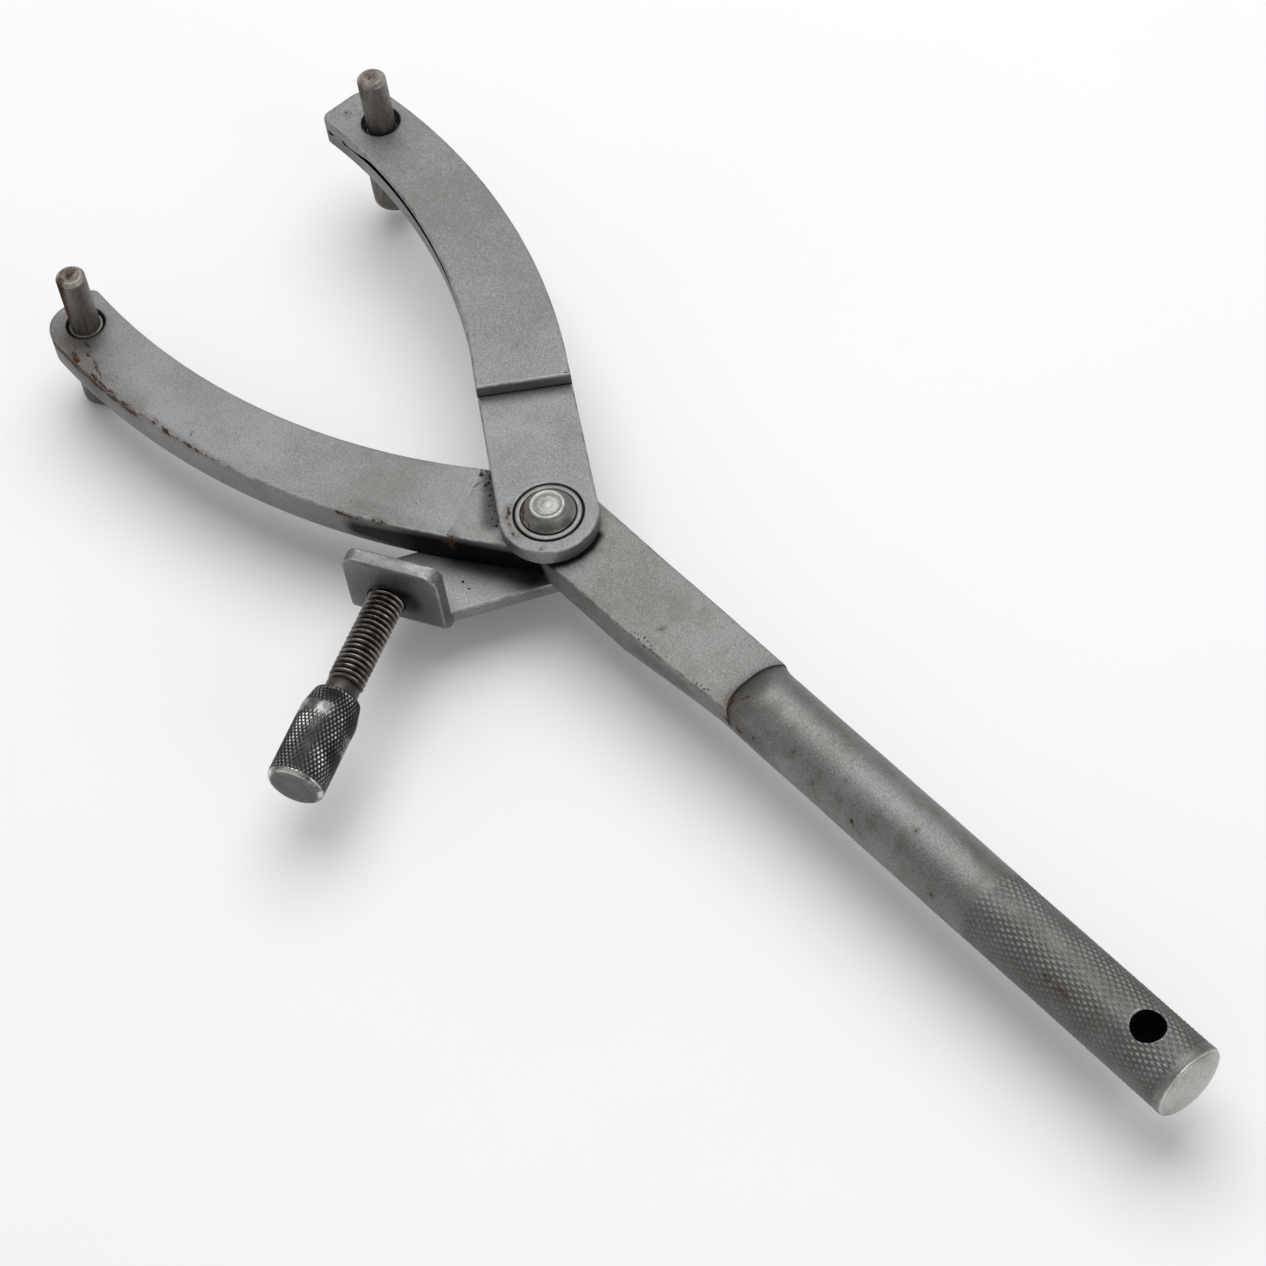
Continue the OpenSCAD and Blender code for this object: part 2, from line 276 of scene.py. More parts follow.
def angle_of(centre, point):
    return math.atan2(point[1] - centre[1], point[0] - centre[0])


def arc_y(edge, side, x):
    (cx, cy), r = edge
    return cy + side * math.sqrt(r * r - (x - cx) ** 2)


def jaw_end(outer, inner, tip, side, outer_from, inner_to):
    """Outer edge, rounded tip and inner edge of a jaw, between two points on the edges."""
    (oc, outer_r), (ic, inner_r) = outer, inner
    x1 = -tip + OUTER_CORNER
    corner = (x1, arc_y((oc, outer_r - OUTER_CORNER), side, x1))
    x2 = -tip + INNER_CORNER
    inside = (x2, arc_y((ic, inner_r + INNER_CORNER), side, x2))
    at_corner = angle_of(oc, corner)
    at_inside = angle_of(ic, inside)
    half_turn = side * math.pi
    points = arc(oc, outer_r, angle_of(oc, outer_from), at_corner)
    points += arc(corner, OUTER_CORNER, at_corner, half_turn, 0.5)
    points += arc(inside, INNER_CORNER, half_turn, at_inside + half_turn, 0.35)
    points += arc(ic, inner_r, at_inside, angle_of(ic, inner_to))
    return points


def tidy_loop(points):
    """Drops repeated points and turns the loop anticlockwise."""
    kept = []
    for p in points:
        if not kept or math.dist(p, kept[-1]) > 0.02:
            kept.append(p)
    if math.dist(kept[0], kept[-1]) <= 0.02:
        kept.pop()
    area = sum(a[0] * b[1] - b[0] * a[1] for a, b in zip(kept, kept[1:] + kept[:1]))
    return kept if area > 0 else kept[::-1]


def clip(points, at, along):
    """Keeps the part of a loop to the left of a line."""
    def height(p):
        return along[0] * (p[1] - at[1]) - along[1] * (p[0] - at[0])

    kept = []
    for a, b in zip(points, points[1:] + points[:1]):
        ha, hb = height(a), height(b)
        if ha >= 0:
            kept.append(a)
        if ha * hb < 0:
            t = ha / (ha - hb)
            kept.append((a[0] + (b[0] - a[0]) * t, a[1] + (b[1] - a[1]) * t))
    return tidy_loop(kept)


def resample_straights(points, step=1.2):
    """Splits long sides of a loop, so that edge noise and grooves have points to work on."""
    out = []
    for a, b in zip(points, points[1:] + points[:1]):
        out += line(a, b, step)[:-1] if math.dist(a, b) > step * 1.5 else [a]
    return out


def inward(points):
    """Direction into the shape at each point of an anticlockwise loop, longer at corners."""
    out = []
    for before, p, after in zip(points[-1:] + points[:-1], points, points[1:] + points[:1]):
        a = Vector((p[0] - before[0], p[1] - before[1])).normalized()
        b = Vector((after[0] - p[0], after[1] - p[1])).normalized()
        mid = Vector((-(a.y + b.y), a.x + b.x))
        mid = mid.normalized() if mid.length > 1e-6 else Vector((-a.y, a.x))
        stretch = 1 / max(0.6, mid.dot(Vector((-a.y, a.x))))
        out.append(mid * stretch)
    return out


def rounded_levels(z0, z1, r0, r1, segments=4, wear=1.0):
    """Wall from z0 to z1 with rounded edges, as (z, inset, wear, dirt and shade) from bottom to
    top.
    """
    out = [(z0, r0 + LIP, 0, 0)]
    for i in range(segments + 1):
        a = math.pi / 2 * i / segments
        out.append((z0 + r0 * (1 - math.cos(a)), r0 * (1 - math.sin(a)), wear * math.sin(2 * a), 0))
    for i in range(segments + 1):
        a = math.pi / 2 * i / segments
        out.append((z1 - r1 * (1 - math.sin(a)), r1 * (1 - math.cos(a)), wear * math.sin(2 * a), 0))
    out.append((z1, r1 + LIP, 0, 0))
    return out


def plate(outline, levels, holes=(), groove=None):
    """Flat plate with shaped edges. Each hole is (x, y, r, levels); its insets widen it.

    A groove changes the inset and height of the outline's points, level by level.
    """
    shape = Shape()
    loops = [(outline, inward(outline), levels, groove)]
    for x, y, r, hole_walls in holes:
        ring = [(x + r * c, y + r * s) for c, s in circle(72)]
        loops.append((ring, [-n for n in inward(ring)], hole_walls, None))
    caps = [[], []]
    for points, normals, loop_levels, shift in loops:
        rings = []
        for k, (z, inset, wear, grime_and_shade) in enumerate(loop_levels):
            ring = []
            for p, n in zip(points, normals):
                depth, high = shift(p, k, z, inset) if shift else (inset, z)
                ring.append((p[0] + n.x * depth, p[1] + n.y * depth, high, wear, grime_and_shade))
            rings.append(shape.ring(ring))
        for a, b in zip(rings, rings[1:]):
            shape.bridge(a, b)
        caps[0].append(rings[0])
        caps[1].append(rings[-1])
    for rings in caps:
        fill_cap(shape, rings)
    return shape


def fill_cap(shape, rings):
    """Fills the flat face between an outline and its holes with triangles."""
    bm = bmesh.new()
    index, edges = {}, []
    for ring in rings:
        verts = [bm.verts.new(shape.verts[i]) for i in ring]
        index.update(zip(verts, ring))
        edges += [bm.edges.new((a, b)) for a, b in zip(verts, verts[1:] + verts[:1])]
    result = bmesh.ops.triangle_fill(bm, use_beauty=True, edges=edges)
    for face in (g for g in result["geom"] if isinstance(g, bmesh.types.BMFace)):
        shape.faces.append(tuple(index[v] for v in face.verts))
    bm.free()


def knurl(along, around, flat_top):
    """Height from 0 to 1 of diamond knurling, by sample along the axis and around it."""
    phase, turn = around / SAMPLES_PER_TOOTH, along / SAMPLES_PER_TOOTH
    height = min(1 - abs(2 * (t % 1) - 1) for t in (phase + turn, phase - turn))
    return min(1.0, height / flat_top)


def within(value, low=0.0, high=1.0):
    return min(high, max(low, value))


# ---------------------------------------------------------------- materials


class Nodes:
    """Short names for building one material's nodes."""

    def __init__(self, name):
        self.material = bpy.data.materials.new(name)
        self.material.use_nodes = True
        self.tree = self.material.node_tree
        self.shader = next(n for n in self.tree.nodes if n.type == "BSDF_PRINCIPLED")
        self.place = self.make("TexCoord").outputs["Object"]

    def link(self, value, socket):
        if isinstance(value, bpy.types.NodeSocket):
            self.tree.links.new(value, socket)
        else:
            socket.default_value = value

    def make(self, kind, inputs=None, **properties):
        """New node with its properties set first and then its inputs."""
        node = self.tree.nodes.new("ShaderNode" + kind)
        for name, value in properties.items():
            setattr(node, name, value)
        for name, value in (inputs or {}).items():
            self.link(value, node.inputs[name])
        return node

    def math(self, operation, a, b, clamp=False):
        return self.make("Math", {0: a, 1: b}, operation=operation, use_clamp=clamp).outputs[0]

    def add(self, a, b, clamp=False):
        return self.math("ADD", a, b, clamp)

    def times(self, a, b, clamp=False):
        return self.math("MULTIPLY", a, b, clamp)

    def most(self, a, b):
        return self.math("MAXIMUM", a, b)

    def without(self, a):
        """1 less a value, never below 0."""
        return self.math("SUBTRACT", 1.0, a, True)

    def noise(self, scale, detail, rough, vector=None, distortion=0.0):
        inputs = {"Vector": vector or self.place, "Scale": scale, "Detail": detail,
                  "Roughness": rough, "Distortion": distortion}
        return self.make("TexNoise", inputs).outputs["Fac"]

    def cells(self, scale):
        return self.make("TexVoronoi", {"Vector": self.place, "Scale": scale}).outputs["Distance"]

    def band(self, value, low, high):
        """0 below low, 1 above high, smooth between."""
        return self.make("MapRange", {"Value": value, "From Min": low, "From Max": high},
                         interpolation_type="SMOOTHSTEP").outputs["Result"]

    def scattered(self, scale, size, patches, share):
        """Small dots in cells of one scale, only where a coarser noise is high."""
        return self.times(self.band(self.cells(scale), *size), self.band(patches, *share))

    def mix(self, amount, a, b):
        a, b = (c if isinstance(c, bpy.types.NodeSocket) else (*c, 1) for c in (a, b))
        return self.make("Mix", {"Factor": amount, 6: a, 7: b}, data_type="RGBA").outputs[2]

    def attribute(self, name):
        return self.make("Attribute", attribute_name=name).outputs["Fac"]

    def vector(self, operation, a, b):
        second = "Scale" if operation == "SCALE" else 1
        node = self.make("VectorMath", {0: a, second: b}, operation=operation)
        return node.outputs["Value" if operation in ("DOT_PRODUCT", "LENGTH") else "Vector"]

    def warped(self, scale, amount):
        """The place, moved about by noise so that the outlines of stains wander."""
        wander = self.make("TexNoise", {"Vector": self.place, "Scale": scale, "Detail": 4})
        shift = self.make("VectorMath", {0: wander.outputs["Color"], 1: (amount,) * 3,
                                         2: (-amount / 2,) * 3}, operation="MULTIPLY_ADD")
        return self.vector("ADD", self.place, shift.outputs["Vector"])

    def along(self, start, stop, radius, soft=0.2, place=None):
        """1 close to the line between two points in millimetres, 0 beyond the radius."""
        start, stop = AT_PIVOT @ Vector(start), AT_PIVOT @ Vector(stop)
        run = stop - start
        from_start = self.vector("SUBTRACT", place or self.place, start)
        t = self.times(self.vector("DOT_PRODUCT", from_start, run),
                       1 / max(1e-9, run.length_squared), True)
        off = self.vector("SUBTRACT", from_start, self.vector("SCALE", run, t))
        off = self.vector("LENGTH", off, (0, 0, 0))
        return self.without(self.band(off, radius * soft * MM, radius * MM))

    def bump(self, height, strength, distance, normal=None):
        inputs = {"Strength": strength, "Distance": distance, "Height": height}
        if normal:
            inputs["Normal"] = normal
        return self.make("Bump", inputs).outputs["Normal"]

    def done(self, inputs):
        """Sets or links the shader's inputs and returns the material."""
        for name, value in inputs.items():
            self.link(value, self.shader.inputs[name])
        return self.material


RUST_DARK, RUST_LIGHT = (0.028, 0.015, 0.009), (0.105, 0.055, 0.031)
# Tints of the darker and lighter patches and of the blotches
WARM, COOL, BROWNISH = (1.015, 1.0, 0.965), (0.985, 0.995, 1.02), (0.74, 0.70, 0.62)


def tinted(base, tint, by=1.0):
    return tuple(c * by * t for c, t in zip(base, tint))


def steel(name, base, rough, metallic=0.8, grain=0.7, mottle=0.12, wear=0.6, pits=0.0,
          worn=(0.60, 0.59, 0.57), dark=(0.013, 0.012, 0.012), rust=(), rust_all=0.0, soot_and_shade=(),
          holes=(), streaks=None, blotchy=0.25, specular=0.5, even=False):
    """Steel with blasted grain, soft mottling and worn edges.

    rust, holes and the darkening lines hold (start, stop, radius, amount) of stained, pitted and
    darkened lines; most darkened lines are painted shade beside, under and between parts.
    streaks, when given, scales drawing lines along an axis. An even material has no marks that
    change its shine.
    """
    n = Nodes(name)
    wandering = n.warped(320, 0.0032)
    patches = n.noise(130, 5, 0.6)
    drift = n.noise(38, 3, 0.5)
    speck = n.noise(2700, 2, 0.85)
    tone = n.add(n.times(patches, 0.7), n.times(drift, 0.8))
    tone = n.add(tone, n.times(speck, 1.6))
    contrast = 2.2 * mottle
    colour = n.mix(n.band(tone, 1.22, 1.88), tinted(base, WARM, 1 - contrast),
                   tinted(base, COOL, 1 + contrast))
    blotches = n.band(n.noise(170, 4, 0.6, distortion=0.4), 0.50, 0.68)
    colour = n.mix(n.times(blotches, blotchy), colour, tinted(base, BROWNISH))
    glints = n.scattered(900, (0.12, 0.04), n.noise(330, 2, 0.5), (0.60, 0.70))
    colour = n.mix(n.times(glints, 0.55), colour, worn)
    if streaks:
        stretched = n.make("Mapping", {"Vector": n.place, "Scale": streaks}).outputs["Vector"]
        lines = n.noise(900, 3, 0.6, stretched)
        colour = n.mix(n.times(n.band(lines, 0.45, 0.75), 0.30), colour, worn)
    dots = n.scattered(620, (0.16, 0.05), n.noise(210, 2, 0.5), (0.54, 0.66))
    colour = n.mix(n.times(dots, 0.7), colour, dark)
    edge = n.times(n.attribute("wear"), n.band(n.noise(420, 4, 0.6), 0.30, 0.62))
    edge = n.times(edge, wear)
    colour = n.mix(edge, colour, worn)
    grime_and_shade = n.attribute("grime_and_shade")
    # Darkened lines: painted shade beside and under other parts, and darker patches
    for start, stop, radius, amount in soot_and_shade:
        patch = n.times(n.along(start, stop, radius), amount)
        grime_and_shade = n.most(grime_and_shade, n.times(patch, n.add(0.7, n.times(patches, 0.6))))
    for start, stop, radius, amount in holes:
        spots = n.times(n.along(start, stop, radius, 0.5, wandering), amount)
        pitted = n.band(n.add(n.cells(1100), n.noise(500, 3, 0.7)), 0.92, 0.70)
        grime_and_shade = n.most(grime_and_shade, n.times(spots, pitted))
    # Dirt and painted shade turn the colour towards the dark colour
    colour = n.mix(n.math("MINIMUM", grime_and_shade, 1.0), colour, dark)
    roughness = n.add(rough, n.times(n.math("SUBTRACT", patches, 0.5), 0.22))
    roughness = n.math("SUBTRACT", roughness, n.times(edge, 0.18))
    # Specular is taken away under stains, dirt and painted shade
    shine, stain_dirt_and_shade = metallic, grime_and_shade
    if rust or rust_all:
        stain = 0.0
        if rust_all:
            stain = n.times(n.band(n.noise(260, 6, 0.65, distortion=0.6), 0.46, 0.66), rust_all)
        ragged = n.times(n.noise(620, 8, 0.75, distortion=0.8), 1.1)
        for start, stop, radius, amount in rust:
            mark = n.times(n.along(start, stop, radius, 0.0, wandering), amount)
            mark = n.times(n.band(n.add(mark, ragged), 0.72, 1.45), n.band(mark, 0.0, 0.45))
            halo = n.along(start, stop, radius * 2.2, 0.0, wandering)
            stain = n.most(n.most(stain, n.times(halo, 0.30 * amount)), mark)
        brown = n.mix(n.band(n.noise(1300, 4, 0.6), 0.35, 0.65), RUST_DARK, RUST_LIGHT)
        colour = n.mix(stain, colour, brown)
        roughness = n.add(roughness, n.times(stain, 0.35), True)
        shine = n.times(n.without(stain), metallic)
        stain_dirt_and_shade = n.most(stain, grime_and_shade)
    normal = n.bump(n.noise(3000, 2, 0.8), grain, 0.00010)
    normal = n.bump(patches, 0.25, 0.00015, normal)
    if streaks:
        normal = n.bump(lines, 0.4, 0.00005, normal)
    if pits:
        hollows = n.scattered(420, (0.30, 0.05), n.noise(160, 3, 0.6), (0.45, 0.6))
        normal = n.bump(hollows, -pits, 0.0003, normal)
    return n.done({"Base Color": colour, "Roughness": roughness, "Normal": normal,
                   "Metallic": shine,
                   "Specular IOR Level": specular if even else n.times(n.without(stain_dirt_and_shade),
                                                                       specular)})


def in_bracket(s, out, z):
    """A point of the bracket's frame, in millimetres from the pivot."""
    return tuple((IN_BRACKET @ Vector((s, -out, z)) - PIVOT) / MM)


def spot(x, y, z, radius, amount):
    """A marked point, as a line of no length."""
    return (x, y, z), (x, y, z), radius, amount


def marks(z, *rows):
    """Marked lines at one height, from rows of (x0, y0, x1, y1, radius, amount)."""
    return [((x0, y0, z), (x1, y1, z), radius, amount) for x0, y0, x1, y1, radius, amount in rows]


# Heights of the faces that carry marks
TOP, EYE_TOP, ARM_TOP, SHEET_TOP = FLAT_HALF, 8.0, 11.2, -FLAT_HALF
# Line on the flat beside the swinging eye, along which painted shade of the eye lies
BESIDE_EYE = (-17.5, -1.0, TOP), (-9.0, -8.4, TOP)
WELD_PITS = marks(TOP, (-18.5, -0.5, -13.5, -4.6, 1.6, 1.0), (-13.5, -4.6, -8.0, -8.6, 1.4, 1.0),
                  (-21.5, 0.5, -21.5, 0.5, 1.3, 0.7))


def jaw_material():
    rust = [((x0, arc_y(FIXED_OUTER, -1, x0), z), (x1, arc_y(FIXED_OUTER, -1, x1), z), r, amount)
            for x0, x1, z, r, amount in (
                (-101, -92, TOP, 0.9, 0.9), (-92, -85, TOP, 0.8, 0.85), (-85, -79, TOP, 1.1, 0.95),
                (-79, -73, TOP, 1.0, 1.0), (-73, -64, TOP, 0.9, 1.0), (-64, -57, TOP, 0.7, 0.8),
                (-118, -108, 2.2, 3.2, 0.75), (-108, -97, 2.4, 3.2, 0.75),
                (-97, -86, 2.6, 2.4, 0.80), (-34, -30, 3.0, 1.0, 0.8), (-27, -22, TOP, 0.8, 0.8),
                (-12.8, -11, 2.0, 1.6, 0.8))]
    rust += marks(TOP, (-107.8, -44.3, -105.5, -44.6, 1.0, 0.95),
                  (-108.2, -40.6, -105.0, -41.4, 1.0, 0.9), (-105.0, -41.4, -97.5, -43.6, 0.6, 0.8),
                  (-84.0, -42.5, -79.5, -41.8, 0.5, 0.8), (-9.0, -7.0, -7.4, -8.6, 1.3, 0.9),
                  (-72, -39, -72, -39, 0.5, 0.8))
    # Painted shade beside the swinging eye and on the outer wall by the pivot; the wall and top
    # near the tip are darker
    soot_and_shade = [(*BESIDE_EYE, 3.6, 0.7), ((-32, -25.0, -0.5), (-6, -14, -1), 5.4, 1.9),
            ((-120, -36, 0), (-100, -44, 0), 5.0, 0.35),
            ((-112.5, -38, TOP), (-110.5, -40, TOP), 7.5, 0.52)]
    return steel("blasted_jaw_steel", (0.196, 0.196, 0.193), 0.48, wear=0.5, pits=0.2,
                 rust=rust, soot_and_shade=soot_and_shade, holes=WELD_PITS)


def bar_material():
    rust = [((58.0, -2.2, 5.0), (60.5, -3.4, 3.4), 1.4, 0.95),
            ((61.5, -1.0, 6.0), (63.5, 2.0, 7.0), 1.0, 0.9),
            ((61.0, -3.6, 2.4), (63.5, -4.2, 1.0), 1.8, 0.95),
            ((63.5, -4.2, 0.2), (66.0, -4.4, 0.6), 1.4, 0.9),
            ((66.5, -4.2, 1.6), (68.5, -3.8, 2.2), 1.3, 0.9),
            ((59.2, -4.4, 1.0), (60.4, -4.6, 0.2), 1.1, 0.85),
            spot(73, -3.6, 3, 1.2, 0.85), spot(77.6, -2.2, 5.4, 1.0, 0.85),
            spot(84, -3.8, 3.6, 1.0, 0.8), ((95.5, -4.0, 3.4), (98.0, -4.2, 2.8), 1.3, 0.9),
            spot(90, -0.5, 7.0, 0.8, 0.8), spot(108, 1, 7.6, 0.8, 0.8),
            ((147, -2.4, 5.6), (152.5, -3.0, 5.2), 1.3, 0.72), spot(36, -1, TOP, 0.8, 0.8),
            spot(118, -4, 3, 1.2, 0.8)]
    # Painted shade on the wall by the pivot and beside the swinging eye; the flat's wall and the
    # ramp's side are darker
    soot_and_shade = [((-12, -17, -0.5), (2, -8, -2), 5.2, 1.8), (*BESIDE_EYE, 3.6, 0.7),
            ((34, -6.2, 0), (48, -5.4, 0), 3.5, 0.25), ((62, -4.5, 1), (70, -4.6, 1), 3.5, 0.3)]
    # Painted shadow of the swinging eye on the flat, in a crescent along the eye's edge
    below_eye = arc((0, 0), EYE_R - 0.2, math.radians(-75), math.radians(28), 3.0)
    soot_and_shade += [((*a, TOP), (*b, TOP), 2.1, 1.15) for a, b in zip(below_eye, below_eye[1:])]
    pits = marks(TOP, (33, -5.9, 38, -5.4, 0.9, 0.9), (49, -5.2, 53, -5.0, 0.9, 0.9))
    return steel("blasted_bar_steel", (0.186, 0.185, 0.178), 0.50, mottle=0.13, wear=0.4,
                 pits=0.4, blotchy=0.6, rust=rust, soot_and_shade=soot_and_shade, holes=WELD_PITS + pits)


def swing_material():
    step_foot = [(x + 1.0, y - 1.2, EYE_TOP) for x, y in (STEP_IN, STEP_OUT)]
    rust = [((-116, 31.5, 6.5), (-110, 32.0, 7.4), 1.8, 0.7), spot(-113.5, 37.3, ARM_TOP, 0.9, 0.9)]
    rust += marks(EYE_TOP, (-6.6, -5.2, -4.6, -7.0, 1.0, 0.95), (-3.4, -8.0, -0.2, -8.8, 0.7, 0.9),
                  (6.0, -7.0, 6.0, -7.0, 0.7, 0.85))
    rust.append(spot(-60, 50, ARM_TOP, 0.5, 0.7))
    # Painted shade: a contact shadow at the foot of the doubler's step, and amounts of 3 that
    # paint the openings the tack weld leaves black. The wall by the tack weld, the tip and the eye
    # are darker.
    soot_and_shade = [(*step_foot, 2.2, 0.10), ((-117, 34, 5), (-105, 33, 5), 3.5, 0.4),
            spot(-109.6, 33.0, 8.4, 1.0, 3.0), spot(-114.4, 33.1, 8.0, 0.9, 3.0),
            ((-116.6, 33.9, 8.0), (-117.4, 35.4, 8.0), 0.7, 3.0),
            spot(-106.5, 41.5, ARM_TOP, 6.8, 0.4), spot(0, 0, EYE_TOP, 9.2, 0.22)]
    return steel("blasted_arm_steel", (0.200, 0.200, 0.199), 0.48, wear=0.45, pits=0.15,
                 dark=(0.011, 0.010, 0.010), rust=rust, soot_and_shade=soot_and_shade)


def pin_material():
    rust, soot_and_shade = [], []
    for node, low_z, amount in (("fixed_pin", 8, 0.95), ("swing_pin", 21, 0.75)):
        x, y = pin_place(node)
        tip_z = node_box(node)[1].z
        rust += [((x - 0.3, y - 3.2, low_z), (x + 0.1, y - 3.2, tip_z), 3.4, amount * 0.9),
                 spot(x - 0.4, y, tip_z, 3.2, amount * 0.85),
                 ((x, y, -12), (x, y, -18), 6.0, 0.5)]
        # Painted shade on the pins below the jaws
        soot_and_shade.append(((x, y, -1), (x, y, -20), 9.0, 0.6))
    return steel("rusty_pin_steel", (0.172, 0.163, 0.150), 0.44, grain=0.5, mottle=0.16, wear=0.8,
                 worn=(0.50, 0.46, 0.41), rust_all=0.5, streaks=(1, 1, 0.06), rust=rust, soot_and_shade=soot_and_shade)


def sheet_material():
    """The bracket's, darkened around the screw, with painted shade under the jaw."""
    flange, wide_darkening = ([in_bracket(SCREW_S + s, FLANGE_OUT + out, 1.5) for s in (0.5, 4.5)]
                    for out in (0, 8))
    return steel("blasted_sheet_steel", (0.228, 0.228, 0.225), 0.46, wear=0.9, pits=0.4,
                 worn=(0.58, 0.57, 0.55), rust=[spot(*flange[0][:2], 8, 0.9, 0.6)],
                 # The line near the bar paints the shade under the jaw; the flange's face is darker
                 # around the screw
                 soot_and_shade=[(*flange, 9.0, 0.95), (*wide_darkening, 20.0, 0.85),
                       *marks(SHEET_TOP, (-12, -15, 2, -8.5, 6.0, 0.85))],
                 holes=marks(SHEET_TOP, (-7.2, -19.4, -4.2, -20.2, 1.0, 1.0),
                             (-13, -24, -12, -26, 0.7, 0.9)))


def make_materials():
    neck = in_bracket(SCREW_S, FLANGE_OUT + KNOB_AT - 1.4, 0)
    return {
        "bar": bar_material(),
        "jaw": jaw_material(),
        "swing": swing_material(),
        "weld": steel("pitted_weld_steel", (0.188, 0.188, 0.184), 0.50, grain=0.8, mottle=0.13,
                      wear=0.2, pits=0.5, holes=WELD_PITS,
                      rust=[((-12.3, -16.0, 3.6), (-11.8, -17.2, 0), 1.2, 0.85),
                            ((-9.4, -7.0, TOP), (-7.8, -9, TOP), 1.2, 0.9)],
                      # Painted shade on the wall by the pivot and beside the swinging eye
                      soot_and_shade=[((-14, -17.5, -0.5), (-9, -16, -1), 5.4, 1.9),
                            (*BESIDE_EYE, 3.6, 0.7)]),
        "pin": pin_material(),
        "rivet": steel("turned_rivet_steel", (0.235, 0.231, 0.220), 0.46, metallic=0.75, grain=0.4,
                       mottle=0.14, wear=0.38,
                       rust=[((-4.9, -2.2, 8.7), (-3.0, -4.8, 8.7), 1.2, 0.95),
                             ((-3.0, -4.8, 8.6), (0.5, -5.6, 8.5), 0.8, 0.9),
                             spot(4.4, -3.2, 8.5, 0.8, 0.8)],
                       # Painted shade down one side of the dome
                       soot_and_shade=[((2.5, -5.2, 8.3), (5.4, 1.0, 8.3), 2.2, 0.6)]),
        "ring": steel("bright_ring_steel", (0.145, 0.143, 0.138), 0.42, metallic=0.9, grain=0.4,
                      wear=0.12),
        "sheet": sheet_material(),
        "screw": steel("oiled_screw_steel", (0.040, 0.034, 0.029), 0.30, metallic=0.9, grain=0.2,
                       mottle=0.2, wear=1.0, worn=(0.42, 0.38, 0.34), dark=(0.007, 0.006, 0.005),
                       rust_all=0.30, rust=[(neck, neck, 5.5, 0.8)]),
        "knob": steel("knurled_knob_steel", (0.078, 0.076, 0.073), 0.28, metallic=0.95, grain=0.2,
                      mottle=0.16, wear=1.0, worn=(0.62, 0.61, 0.59), dark=(0.008, 0.007, 0.006)),
        # The bores' walls are painted near black without shine: painted shade inside the holes
        "bore": steel("bore_painted_shade", (0.004, 0.004, 0.004), 0.85, metallic=0.0, grain=0.4,
                      wear=0.0, blotchy=0.0, specular=0.02, worn=(0.01, 0.01, 0.01),
                      dark=(0.002, 0.002, 0.002), even=True),
        "end": steel("turned_end_steel", (0.37, 0.365, 0.345), 0.32, metallic=0.9, grain=0.4,
                     even=True),
    }


# ---------------------------------------------------------------- bar

RING_POINTS = BAR_TEETH * SAMPLES_PER_TOOTH
QUARTER = RING_POINTS // 4
CORNER_POINTS = 5
SHOULDER_BOW = 2.6


def rounded_rectangle(half_wide, z_low, z_high, corner):
    """Section across the bar with its points spread as those of a circle are: (y, z, wear)."""
    corners = [(1, 1), (-1, 1), (-1, -1), (1, -1)]
    out = []
    for k in range(RING_POINTS):
        quarter = ((k + QUARTER // 2) // QUARTER) % 4
        into = (k + QUARTER // 2) % QUARTER
        start, stop = corners[quarter - 1], corners[quarter]
        if into < CORNER_POINTS or into > QUARTER - CORNER_POINTS:
            at = start if into < CORNER_POINTS else stop
            turn = into if into < CORNER_POINTS else into - QUARTER
            mid = math.atan2(at[1], at[0])
            a = mid + turn / CORNER_POINTS * math.pi / 4
            cy = at[0] * (half_wide - corner)
            cz = (z_high - corner) if at[1] > 0 else (z_low + corner)
            wear = 1 - abs(turn) / CORNER_POINTS
            out.append((cy + corner * math.cos(a), cz + corner * math.sin(a), wear))
        else:
            t = (into - CORNER_POINTS) / (QUARTER - 2 * CORNER_POINTS)
            in_y, in_z = (corner, 0) if quarter in (1, 3) else (0, corner)
            y0, y1 = (c[0] * (half_wide - in_y) for c in (start, stop))
            w0, w1 = ((z_high if c[1] > 0 else z_low) - c[1] * in_z for c in (start, stop))
            out.append((y0 + (y1 - y0) * t, w0 + (w1 - w0) * t, 0))
    return out


def circle_section():
    return [(BAR_R * c, BAR_R * s, 0) for c, s in circle(RING_POINTS)]


def shoulder_section():
    """Round below and square above, where the flat ends."""
    square = rounded_rectangle(BAR_R, -BAR_R, FLAT_HALF, 0.7)
    out = []
    for k, (c, s) in enumerate(zip(circle_section(), square)):
        if k <= RING_POINTS // 2 and s[1] >= 0:
            out.append(s)
        else:
            out.append(c if s[1] < 0 and c[1] < 0 else (s[0], max(0, s[1]), 0))
    return out


def mixed(a, b, t):
    return [tuple(p + (q - p) * t for p, q in zip(u, v)) for u, v in zip(a, b)]


def eased(t):
    return t * t * (3 - 2 * t)


def dents(x, y, z):
    """Slight unevenness of forged metal."""
    broad = noise.noise(Vector((x * 0.055, y * 0.12, z * 0.12)))
    return 0.10 * broad + 0.03 * noise.noise(Vector((x, y, z)) * 0.45)


def weld_point(t, shift):
    """Point on the weld's line, t along it and shift to its right."""
    along = Vector((math.cos(WELD_ANGLE), math.sin(WELD_ANGLE)))
    right = Vector((-along.y, along.x))
    return Vector(WELD_FROM) + along * t + right * shift


def weld_end(edge, shift):
    """Distance along the weld at which it meets one of the jaw's edge arcs, just short of it."""
    centre, radius = edge
    low, high = -8.0, 32.0
    inset = 0.04 if edge is FIXED_OUTER else -0.04
    for _ in range(24):
        mid = (low + high) / 2
        if math.dist(weld_point(mid, shift), centre) < radius - inset:
            low = mid
        else:
            high = mid
    return low


